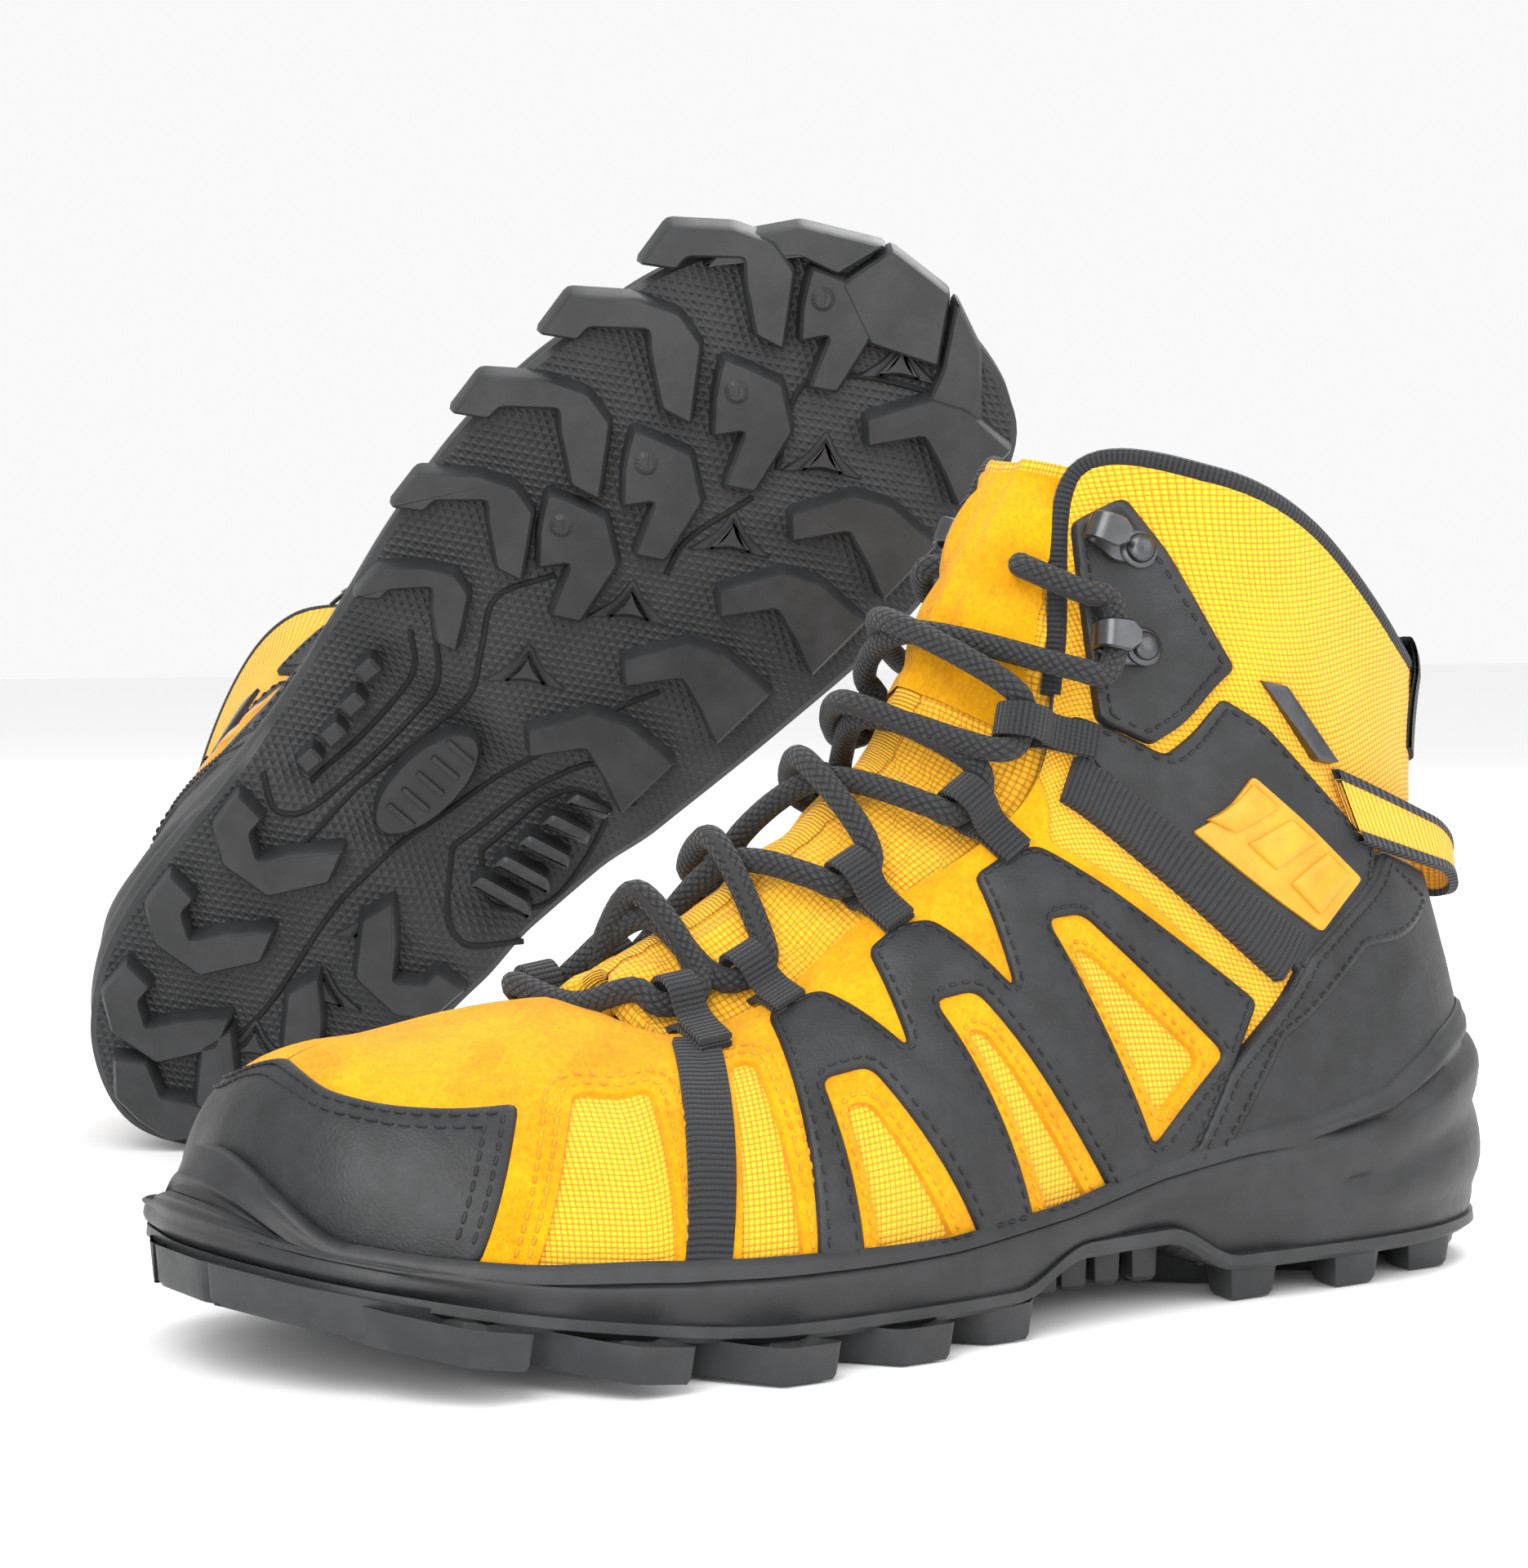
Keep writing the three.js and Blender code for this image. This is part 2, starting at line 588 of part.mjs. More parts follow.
function roundHook(side) {
  const [station, up] = HOOK_PLACES[0];
  const frame = edgeFrame(sideStation(side, station), up);
  const out = HOOK.lift + (HOOK.inside[0] + HOOK.inside[1]) / 2;
  const turn = HOOK.width / 2 + 3.7;
  return [at(frame, 5, -turn, out), at(frame, -1, -turn, out), at(frame, -3.2, 0, out),
    at(frame, -1, turn, out), at(frame, 4, turn, out + 0.5)];
}

// Over the middle of the tongue, as the lower or the upper strand of a crossing.
function overTongue(station, isUpper) {
  const rise = tongueMiddle(station + 0.3).sub(tongueMiddle(station - 0.3)).normalize();
  const up = new THREE.Vector3(rise.z, 0, -rise.x);
  const height = LACE_RADIUS + 2.8 + (isUpper ? 2 * LACE_RADIUS + 0.6 : 0);
  return tongueMiddle(station).addScaledVector(up, height);
}

function strand(side) {
  const levels = LOOP_STATIONS.length;
  const points = [];
  let here = side;
  for (let level = 0; level < levels; level += 1) {
    points.push(...throughLoop(here, level));
    const next = level + 1 < levels ? LOOP_STATIONS[level + 1] : HOOK_PLACES[0][0];
    const crossing = (LOOP_STATIONS[level] + next) / 2;
    const isUpper = (side > 0) === (level % 2 === 0);
    points.push(overTongue(crossing, isUpper));
    here = -here;
  }
  points.push(...roundHook(here));
  return [...points, ...tuckedEnd(here)];
}

// The end goes over the edge of the collar and down between the collar and the tongue.
function tuckedEnd(side) {
  const y = 12 * side;
  return [new THREE.Vector3(122.5, 17 * side, 145.5), new THREE.Vector3(117.5, y, 145),
    new THREE.Vector3(108, y, 139.5), new THREE.Vector3(99, y, 133)];
}

function lace() {
  const bar = overTongue(4.9, false).add(new THREE.Vector3(4.5, 0, -1.5));
  const points = [...strand(1).reverse(), bar, ...strand(-1)];
  return tube(points, LACE_RADIUS, 125);
}

// ---- finishes ----
const finish = (color, roughness, metalness = 0) => ({ color, roughness, metalness });
const RUBBER = finish(0x17181a, 0.6);
const BLACK_FOAM = finish(0x1b1c1e, 0.7);
const SUEDE = finish(0xe8a013, 0.95);
const TEXTILE = finish(0xf4b52c, 0.9);
const BLACK_SYNTHETIC = finish(0x151617, 0.55);
const WEBBING_BLACK = finish(0x101113, 0.85);
const WEBBING_YELLOW = finish(0xf0ab20, 0.85);
const GUNMETAL = finish(0x2b2d30, 0.35, 0.9);
const SPRING_STEEL = finish(0x8c9094, 0.35, 1);
const INSOLE = finish(0x222325, 0.9);

// ---- one boot ----
function bootPieces() {
  const medialCage = mirrored(cageOutline);
  const pieces = {
    outsole: [outsole(), RUBBER],
    midsole: [midsole(), BLACK_FOAM],
    shank: [shankPlate(0, 0), SPRING_STEEL],
    footbed: [footbed(), INSOLE],
    upper: [upper(), SUEDE],
    toe_cap: [plate(toeCapOutline), BLACK_SYNTHETIC],
    lateral_cage: [plate(cageOutline), BLACK_SYNTHETIC],
    medial_cage: [plate(medialCage), BLACK_SYNTHETIC],
    heel_counter: [plate(heelCounterOutline), BLACK_SYNTHETIC],
    collar_pad: [collarPad(), TEXTILE],
    collar_piping: [collarPiping(), WEBBING_BLACK],
    heel_loop: [heelLoop(), WEBBING_YELLOW],
    pull_tab: [pullTab(), WEBBING_BLACK],
    tongue: [tongue(), TEXTILE],
    tongue_top: [tongueTop(), TEXTILE],
    lace: [lace(), WEBBING_BLACK],
  };
  for (const [sideName, side] of [['lateral', 1], ['medial', -1]]) {
    pieces[`${sideName}_strap_loop_1`] = [strapWithLoop(side, 1, forefootStrap), WEBBING_BLACK];
    for (const number of [2, 3, 4]) {
      pieces[`${sideName}_lace_loop_${number}`] = [webbingLoop(side, number), WEBBING_BLACK];
    }
    pieces[`${sideName}_strap_loop_5`] = [strapWithLoop(side, 5, ankleStrap), WEBBING_BLACK];
    for (const number of [1, 2]) {
      pieces[`${sideName}_lace_hook_${number}`] = [laceHook(side, number), GUNMETAL];
    }
  }
  return pieces;
}

// The right boot is the mirror image, so its faces are turned round as well.
function mirrorGeometry(geometry) {
  const flipped = welded(geometry).scale(1, -1, 1);
  const index = flipped.getIndex().array;
  for (let i = 0; i < index.length; i += 3) [index[i], index[i + 1]] = [index[i + 1], index[i]];
  return flipped;
}

function boot(name, pieces, mirror) {
  const group = new THREE.Group();
  for (const [piece, [geometry, look]] of Object.entries(pieces)) {
    const solid = mirror ? mirrorGeometry(geometry) : welded(geometry);
    const mesh = new THREE.Mesh(solid, new THREE.MeshStandardMaterial(look));
    mesh.name = `${name}_${piece}`;
    group.add(mesh);
  }
  return group;
}

const pair = new THREE.Group();
const pieces = bootPieces();

const left = boot('left', pieces, false);
left.rotation.z = Math.PI;
left.position.x = HEEL_LUG_X;
pair.add(left);

const right = boot('right', pieces, true);
const radians = THREE.MathUtils.degToRad;
right.rotation.set(radians(LEAN_ROLL), radians(LEAN_PITCH), radians(LEAN_TURN), 'ZYX');
right.position.set(...LEAN_HEEL);
pair.add(right);

export default pair;
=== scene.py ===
# A pair of mid-height mountaineering boots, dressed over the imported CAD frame.
#
# One boot is made in its own frame in millimetres: x from the heel (0) to the toe (300), y to the
# outer side, z up. Both boots take copies of each piece; the right one is mirrored and leans back.
# Places on the upper are [station, up]: the station counts from the toe tip (0) along the outer
# side to the middle of the heel (15) and back to the toe (30); up runs from the sole (0) to the
# ridge, the eyestay or the collar edge (1).
import math

import bmesh
import bpy
import numpy as np
from mathutils import Matrix, Vector
from mathutils.geometry import delaunay_2d_cdt


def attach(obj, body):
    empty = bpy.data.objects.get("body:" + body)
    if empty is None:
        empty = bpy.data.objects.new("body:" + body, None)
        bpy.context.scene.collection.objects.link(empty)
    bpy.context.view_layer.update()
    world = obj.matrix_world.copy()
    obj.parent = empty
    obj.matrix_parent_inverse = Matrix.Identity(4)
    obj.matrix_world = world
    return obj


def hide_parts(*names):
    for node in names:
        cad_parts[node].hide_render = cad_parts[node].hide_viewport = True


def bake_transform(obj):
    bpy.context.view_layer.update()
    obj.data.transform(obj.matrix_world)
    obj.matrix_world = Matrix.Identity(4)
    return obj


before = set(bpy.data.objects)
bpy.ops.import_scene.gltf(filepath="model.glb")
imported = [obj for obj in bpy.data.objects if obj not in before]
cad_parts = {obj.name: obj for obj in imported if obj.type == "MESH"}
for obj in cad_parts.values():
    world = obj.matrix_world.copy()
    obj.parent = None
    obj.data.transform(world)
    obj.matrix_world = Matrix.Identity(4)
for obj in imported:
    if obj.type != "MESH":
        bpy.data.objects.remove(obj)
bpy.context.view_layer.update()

MM = 0.001

# ---- camera: the photograph's viewing angle ----
CAMERA_PLACE = (-0.5196, -0.6152, 0.1378)
CAMERA_FORWARD = (0.50386, 0.86241, -0.04871)
CAMERA_LENS = 84.36

# ---- dimensions of a boot ----
HEEL_LUG_X = 11
LEAN_ROLL, LEAN_PITCH, LEAN_TURN = -68.1, -46.0, -42.7
LEAN_HEEL = (-192.7, 260.5, 5.14)
UPPER_WALL = 3
LUG_DEPTH = 6.3
OUTSOLE_BASE = 3
TOE_SPRING = 15
LACE_RADIUS = 2.5
HEEL = 15
RING = 30
LOOP_STATIONS = [5.25, 6, 7.1, 8.15, 9.4]
HOOK_PLACES = [(10.35, 0.9), (10.85, 0.94)]
LOOP_EYE_ACROSS, LOOP_EYE_OUT, LOOP_EYE_HOLE = 6.6, 4.4, 4.4
LOOP_WIDTH = 6.5

# At each station, the four [x, y, z] control points of the side, from the sole to its top edge.
PROFILES = np.array([
    [[280, 0, 24], [284, 0, 38], [277, 0, 55], [258, 0, 57]],
    [[272, 24, 22], [276, 28, 38], [268, 17, 55.5], [258, 0, 57]],
    [[258, 37, 19], [260, 42, 37], [258, 20, 57], [258, 0, 57]],
    [[243, 46, 16.5], [244, 50, 37], [243, 26, 58], [243, 0, 57.8]],
    [[225, 51, 15], [225, 56, 38], [222, 28, 60], [216, 0, 62.5]],
    [[212, 53.5, 14.5], [212, 57, 36], [206, 38, 52], [203, 23, 57]],
    [[190, 54, 15], [190, 58, 38], [184, 36, 58], [181, 23, 63]],
    [[162, 50, 17], [161, 54, 42], [163, 36, 70], [161.5, 24, 78]],
    [[132, 43, 20], [130, 46, 45], [136, 35, 82], [137.5, 25, 91]],
    [[106, 38, 22.5], [103, 40, 50], [120, 34, 88], [124, 25, 104]],
    [[86, 36, 24], [82, 40, 55], [108, 30, 100], [117, 22, 128]],
    [[66, 35, 24.5], [62, 41, 60], [98, 28, 120], [109, 17, 163]],
    [[46, 33, 25], [42, 40, 62], [84, 27, 115], [90, 35, 162]],
    [[28, 28, 25], [24, 36, 60], [64, 25, 105], [66, 36, 152]],
    [[12, 17, 25], [8, 20, 60], [36, 14, 95], [34, 23, 130]],
    [[4, 0, 24], [10, 0, 55], [17, 0, 85], [13, 0, 121]],
], float)
TOE_BUMPER = 5
# How far up the side the rubber reaches at each station.
RUBBER_UP = [0.36, 0.09, 0.08, 0.08, 0.09, 0.1, 0.08, 0.045,
             0.045, 0.08, 0.09, 0.09, 0.12, 0.21, 0.27, 0.28]
# The tongue's middle line as [x, z], with a point for each station from 5 on.
TONGUE_MIDDLE = np.array([[206, 68], [188, 77], [168, 89], [148, 106],
                          [142, 115], [133, 132], [114, 166]], float)
SIDES = ((1, "lateral"), (-1, "medial"))


# ---- curves and surfaces of the upper ----
def distances(path):
    """The distance along a polyline at each of its points."""
    return np.r_[0, np.cumsum(np.linalg.norm(np.diff(path, axis=0), axis=1))]


def smooth(x, low, high):
    t = np.clip((np.asarray(x, float) - low) / (high - low), 0, 1)
    return t * t * (3 - 2 * t)


def middle_y(x):
    return -5 * smooth(x, 120, 260)


def ground_rise(x):
    run = np.maximum((np.asarray(x, float) - 200) / 97, 0)
    return TOE_SPRING * run ** 1.5


def arch_rise(x):
    return 7 * smooth(x, 86, 104) * (1 - smooth(x, 126, 146))


def handle_slopes():
    slopes = np.zeros_like(PROFILES)
    for i in range(HEEL + 1):
        before = PROFILES[max(i - 1, 0)]
        after = PROFILES[min(i + 1, HEEL)]
        if i in (0, HEEL):
            slopes[i] = (after - before) * [0, 1, 0]
        else:
            still = (PROFILES[i] == before) | (PROFILES[i] == after)
            slopes[i] = np.where(still, 0, (after - before) / 2)
    return slopes


SLOPES = handle_slopes()


def surface(station, up):
    """Points of the upper's outer surface, for arrays of stations and ups."""
    station, up = np.broadcast_arrays(np.asarray(station, float), np.asarray(up, float))
    around = np.mod(station, RING)
    medial = around > HEEL
    t = np.where(medial, RING - around, around)
    i = np.clip(np.floor(t).astype(int), 0, HEEL - 1)
    u = (t - i)[..., None, None]
    h = u * u * (3 - 2 * u)
    handles = (PROFILES[i] * (1 - h) + PROFILES[i + 1] * h + SLOPES[i] * u * (1 - u) ** 2
               + SLOPES[i + 1] * u * u * (u - 1))
    v = up[..., None]
    p = (handles[..., 0, :] * (1 - v) ** 3 + 3 * handles[..., 1, :] * v * (1 - v) ** 2
         + 3 * handles[..., 2, :] * v * v * (1 - v) + handles[..., 3, :] * v ** 3)
    x, y, z = p[..., 0], p[..., 1], p[..., 2]
    waist = smooth(x, 90, 190)
    forward = np.where(medial, 0.5 * y * waist * (1 - smooth(x, 250, 290)), 0)
    z = z + (ground_rise(x + forward) - ground_rise(x)) * (1 - up)
    x = x + forward
    y = middle_y(x) + np.where(medial, -y * (1 - 0.13 * waist), y)
    return np.stack([x, y, z], -1)


def normal(station, up):
    station, up = np.broadcast_arrays(np.asarray(station, float), np.asarray(up, float))
    around = np.mod(station, RING)
    inward = np.minimum(around, RING - around)
    on_ridge = (up > 0.99) & (inward < 4.01)
    around = np.where(on_ridge, np.maximum(inward, 2.2), around)
    v = np.clip(up, 0.03, 0.97)
    along = surface(around + 0.05, v) - surface(around - 0.05, v)
    rise = surface(around, v + 0.03) - surface(around, v - 0.03)
    out = np.cross(along, rise)
    out[..., 1] = np.where(on_ridge | (inward < 0.01) | (np.abs(inward - HEEL) < 0.01), 0, out[..., 1])
    return out / np.linalg.norm(out, axis=-1, keepdims=True)


def lifted(station, up, lift):
    return surface(station, up) + normal(station, up) * np.asarray(lift, float)[..., None]


# The unrolled side: X is the distance along the boot at mid-height, Y the distance up the side.
SIDE_STATIONS = np.linspace(0, HEEL, 151)
SIDE_X = distances(surface(SIDE_STATIONS, 0.35))
SIDE_LENGTHS = np.array([np.linalg.norm(np.diff(surface(s, np.linspace(0, 1, 20)), axis=0), axis=1).sum()
                         for s in SIDE_STATIONS])
BACK_X = SIDE_X[-1]


def unroll(station, up):
    s = np.asarray(station, float)
    x = np.interp(np.abs(s), SIDE_STATIONS, SIDE_X) * np.sign(s)
    x = np.where(s > HEEL, 2 * BACK_X - np.interp(RING - s, SIDE_STATIONS, SIDE_X), x)
    folded = np.abs(np.where(s > HEEL, RING - s, s))
    return np.stack([x, up * np.interp(folded, SIDE_STATIONS, SIDE_LENGTHS)], -1)


def roll(flat):
    x, y = flat[..., 0], flat[..., 1]
    s = np.interp(np.abs(x), SIDE_X, SIDE_STATIONS) * np.sign(x)
    s = np.where(x > BACK_X, RING - np.interp(2 * BACK_X - x, SIDE_X, SIDE_STATIONS), s)
    folded = np.abs(np.where(x > BACK_X, RING - s, s))
    return s, y / np.interp(folded, SIDE_STATIONS, SIDE_LENGTHS)


# ---- placing the two boots ----
def turned(roll_deg, pitch_deg, turn_deg):
    turn = Matrix.Rotation(math.radians(turn_deg), 4, "Z")
    pitch = Matrix.Rotation(math.radians(pitch_deg), 4, "Y")
    return turn @ pitch @ Matrix.Rotation(math.radians(roll_deg), 4, "X")


LEFT = Matrix.Translation((HEEL_LUG_X, 0, 0)) @ Matrix.Rotation(math.pi, 4, "Z")
LEAN = Matrix.Translation(LEAN_HEEL) @ turned(LEAN_ROLL, LEAN_PITCH, LEAN_TURN)
RIGHT = LEAN @ Matrix.Diagonal((1, -1, 1, 1))
BOOTS = {"left": LEFT, "right": RIGHT}


def in_scene(points, side):
    m = np.array(BOOTS[side])
    return (np.asarray(points) @ m[:3, :3].T + m[:3, 3]) * MM


def make(name, points, faces, material, uvs=None, replaces=(), sharp=35):
    """Both boots' copies of a piece, from points in a boot's own frame, with UVs in millimetres."""
    made = {}
    for side in BOOTS:
        mesh = bpy.data.meshes.new(f"{side}_{name}")
        turned_faces = [tuple(f) if side == "left" else tuple(reversed(f)) for f in faces]
        mesh.from_pydata(in_scene(points, side).tolist(), [], turned_faces)
        place = mesh.attributes.new("place", "FLOAT_VECTOR", "POINT")
        place.data.foreach_set("vector", np.asarray(points, np.float32).ravel())
        corners = np.empty(len(mesh.loops), np.int32)
        mesh.loops.foreach_get("vertex_index", corners)
        flat = np.asarray(points)[:, :2] if uvs is None else np.asarray(uvs)
        mesh.uv_layers.new(name="UVMap").data.foreach_set("uv", flat[corners].astype(np.float32).ravel())
        mesh.shade_smooth()
        mesh.set_sharp_from_angle(angle=math.radians(sharp))
        mesh.materials.append(material)
        piece = bpy.data.objects.new(f"{side}_{name}", mesh)
        bpy.context.scene.collection.objects.link(piece)
        if replaces:
            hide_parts(*[f"{side}_{node}" for node in replaces])
        made[side] = piece
    return made


def ride_boot(made):
    for side, piece in made.items():
        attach(piece, f"{side}_boot")
    return made


def boot_piece(name, points, faces, material, **more):
    return ride_boot(make(name, points, faces, material, **more))


# ---- mesh makers ----
def grid_faces(rows, columns, closed=False):
    faces = []
    for r in range(rows - 1):
        for c in range(columns if closed else columns - 1):
            d = (c + 1) % columns
            faces.append((r * columns + c, r * columns + d, (r + 1) * columns + d, (r + 1) * columns + c))
    return faces


def capped_faces(rows, columns):
    """Faces of a strip of rings, with both its ends capped."""
    count = rows * columns
    ends = [tuple(range(columns))[::-1], tuple(range(count - columns, count))]
    return grid_faces(rows, columns, closed=True) + ends


def grid_uvs(points):
    """Distances along the rows and the columns of a grid of points."""
    along = np.linalg.norm(np.diff(points, axis=1), axis=-1).mean(0)
    up = np.linalg.norm(np.diff(points, axis=0), axis=-1).mean(1)
    u, v = np.meshgrid(np.r_[0, np.cumsum(along)], np.r_[0, np.cumsum(up)])
    return np.stack([u, v], -1)


class Heap:
    """Several small meshes gathered into one."""
    def __init__(self):
        self.points, self.faces, self.uvs, self.count = [], [], [], 0

    def add(self, points, faces, uvs=None):
        points = np.asarray(points, float).reshape(-1, 3)
        self.points.append(points)
        self.faces += [tuple(i + self.count for i in f) for f in faces]
        self.uvs.append(points[:, :2] if uvs is None else np.asarray(uvs, float).reshape(-1, 2))
        self.count += len(points)

    def piece(self, name, material, **more):
        return boot_piece(name, np.concatenate(self.points), self.faces, material,
                          uvs=np.concatenate(self.uvs), **more)


def resampled(points, step):
    """Points at an even distance along a polyline."""
    points = np.asarray(points, float)
    run = distances(points)
    count = max(int(round(run[-1] / step)), 1)
    at = np.linspace(0, run[-1], count + 1)
    return np.stack([np.interp(at, run, points[:, k]) for k in range(points.shape[1])], -1)


def spline(points, per_span=8):
    """A centripetal Catmull-Rom curve through points."""
    p = np.asarray(points, float)
    p = np.vstack([2 * p[0] - p[1], p, 2 * p[-1] - p[-2]])
    out = []
    for i in range(len(p) - 3):
        p0, p1, p2, p3 = p[i:i + 4]
        t1 = max(np.linalg.norm(p1 - p0), 1e-6) ** 0.5
        t2 = t1 + max(np.linalg.norm(p2 - p1), 1e-6) ** 0.5
        t3 = t2 + max(np.linalg.norm(p3 - p2), 1e-6) ** 0.5
        for t in np.linspace(t1, t2, per_span, endpoint=False):
            a1 = p0 + (p1 - p0) * t / t1
            a2 = p1 + (p2 - p1) * (t - t1) / (t2 - t1)
            a3 = p2 + (p3 - p2) * (t - t2) / (t3 - t2)
            b1 = a1 + (a2 - a1) * t / t2
            b2 = a2 + (a3 - a2) * (t - t1) / (t3 - t1)
            out.append(b1 + (b2 - b1) * (t - t1) / (t2 - t1))
    return np.array(out + [p[-2]])


def tube(path, radius, sides=12):
    """A round section swept along a path without twist, with its ends capped."""
    path = np.asarray(path, float)
    tangent = np.gradient(path, axis=0)
    tangent /= np.linalg.norm(tangent, axis=1, keepdims=True)
    side = np.cross(tangent[0], [0.3, 0.2, 1.0])
    a = np.linspace(0, 2 * np.pi, sides, endpoint=False)[:, None]
    rings = []
    for point, t in zip(path, tangent):
        side = side - t * side.dot(t)
        side /= np.linalg.norm(side)
        rings.append(point + radius * (np.cos(a) * side + np.sin(a) * np.cross(t, side)))
    around = np.tile(np.arange(sides) / sides, len(path))
    uvs = np.stack([around, np.repeat(distances(path), sides)], -1)
    return np.concatenate(rings), capped_faces(len(path), sides), uvs


def rounded(outline, radius, closed=True, steps=4):
    """An outline with its corners rounded off."""
    outline = np.asarray(outline, float)
    count = len(outline)
    out = []
    for i in range(count):
        here = outline[i]
        if not closed and i in (0, count - 1):
            out.append(here)
            continue
        before, after = outline[i - 1] - here, outline[(i + 1) % count] - here
        a, b = np.linalg.norm(before), np.linalg.norm(after)
        cut = min(radius, 0.45 * a, 0.45 * b)
        start, end = here + before / a * cut, here + after / b * cut
        for t in np.linspace(0, 1, steps + 1):
            out.append((1 - t) ** 2 * start + 2 * t * (1 - t) * here + t * t * end)
    return np.array(out)


def closed_steps(outline, step):
    loop = np.vstack([outline, outline[:1]])
    parts = [resampled(loop[i:i + 2], step)[:-1] for i in range(len(loop) - 1)]
    return np.concatenate(parts)


def edge_distance(points, loops):
    """Distance from each flat point to the nearest edge of some closed loops."""
    best = np.full(len(points), 1e9)
    for loop in loops:
        a, b = loop, np.roll(loop, -1, axis=0)
        d = b - a
        length = np.maximum((d * d).sum(1), 1e-12)
        for k in range(len(a)):
            t = np.clip(((points - a[k]) @ d[k]) / length[k], 0, 1)
            gap = points - a[k] - t[:, None] * d[k]
            best = np.minimum(best, np.hypot(gap[:, 0], gap[:, 1]))
    return best


def inside(points, loops):
    odd = np.zeros(len(points), bool)
    for loop in loops:
        a, b = loop, np.roll(loop, -1, axis=0)
        for (x0, y0), (x1, y1) in zip(a, b):
            crosses = (y0 > points[:, 1]) != (y1 > points[:, 1])
            at = x0 + (points[:, 1] - y0) * (x1 - x0) / (y1 - y0 if y1 != y0 else 1e-9)
            odd ^= crosses & (points[:, 0] < at)
    return odd


def signed_area(loop):
    after = np.roll(loop, -1, axis=0)
    return 0.5 * (loop[:, 0] * after[:, 1] - loop[:, 1] * after[:, 0]).sum()


def flat_cross(a, b, c):
    """Twice the signed area of a flat triangle."""
    return (b - a)[0] * (c - a)[1] - (b - a)[1] * (c - a)[0]


def inset_loop(loop, distance):
    """A closed loop moved inwards, or outwards where the distance is negative."""
    along = np.roll(loop, -1, axis=0) - np.roll(loop, 1, axis=0)
    along /= np.maximum(np.linalg.norm(along, axis=1, keepdims=True), 1e-9)
    inward = np.stack([-along[:, 1], along[:, 0]], -1) * np.sign(signed_area(loop))
    return loop + inward * distance


def triangulated(loops, spacing, rings):
    """Flat points and triangles filling closed loops, with extra rows of points along the edges."""
    extra = []
    for loop in loops:
        side = 1 if loop is loops[0] else -1
        for distance in rings:
            moved = inset_loop(loop, side * distance)
            extra.append(moved[edge_distance(moved, loops) > 0.85 * distance])
    low, high = loops[0].min(0), loops[0].max(0)
    xs = np.arange(low[0], high[0], spacing)
    ys = np.arange(low[1], high[1], spacing * 0.87)
    lattice = np.array([(x + (j % 2) * spacing / 2, y) for j, y in enumerate(ys) for x in xs])
    last = rings[-1] if len(rings) else 0
    lattice = lattice[edge_distance(lattice, loops) > last + 0.5 * spacing]
    free = np.concatenate(extra + [lattice])
    free = free[inside(free, loops)]
    points = np.concatenate(loops + [free])
    edges, start = [], 0
    for loop in loops:
        edges += [(start + i, start + (i + 1) % len(loop)) for i in range(len(loop))]
        start += len(loop)
    result = delaunay_2d_cdt([Vector(p) for p in points], edges, [], 0, 1e-5)
    flat = np.array([tuple(p) for p in result[0]])
    faces = [tuple(f) for f in result[2]]
    centres = flat[np.array(faces)].mean(1)
    keep = inside(centres, loops)
    return flat, [f for f, k in zip(faces, keep) if k]


# ---- panels on the upper ----
PANEL_RINGS = (0.35, 1.0, 2.0)


class Panel:
    """A sheet sewn on the upper, cut to an outline of [station, up] points."""
    def __init__(self, outline, holes=(), thickness=1.4, edge=1.2, lift=0.1, corner=3, spacing=4.0,
                 relief=None):
        self.loops = [self.cut(line, corner) for line in (outline, *holes)]
        self.thickness, self.edge, self.lift, self.relief = thickness, edge, lift, relief
        self.flat, self.faces = triangulated(self.loops, spacing, PANEL_RINGS)
        if self.faces and flat_cross(*self.flat[list(self.faces[0])]) < 0:
            self.faces = [f[::-1] for f in self.faces]

    @staticmethod
    def cut(outline, corner):
        outline = np.asarray(outline, float)
        corners = unroll(outline[:, 0], outline[:, 1])
        return closed_steps(rounded(corners, corner), 1.8)

    def height(self, flat):
        d = edge_distance(flat, self.loops)
        rim = np.clip(d / self.edge, 0, 1)
        h = self.lift + self.thickness * np.sqrt(np.maximum(1 - (1 - rim) ** 2, 0))
        if self.relief:
            h = h + self.relief(flat, d)
        return np.where(d < 0.02, -0.9, h)

    def points(self, medial=False):
        station, up = roll(self.flat)
        if medial:
            station = RING - station
        return lifted(station, np.clip(up, -0.02, 1.0), self.height(self.flat))

    def polys(self, medial=False):
        return [f[::-1] for f in self.faces] if medial else self.faces


def add_both(heap, panel, uvs=None):
    """Adds a panel's lateral and medial copies to a heap."""
    for medial in (False, True):
        heap.add(panel.points(medial), panel.polys(medial), panel.flat if uvs is None else uvs)


def both_sides(panel):
    """A panel's lateral and medial copies in one mesh."""
    heap = Heap()
    add_both(heap, panel)
    return heap


STITCH = 0.36


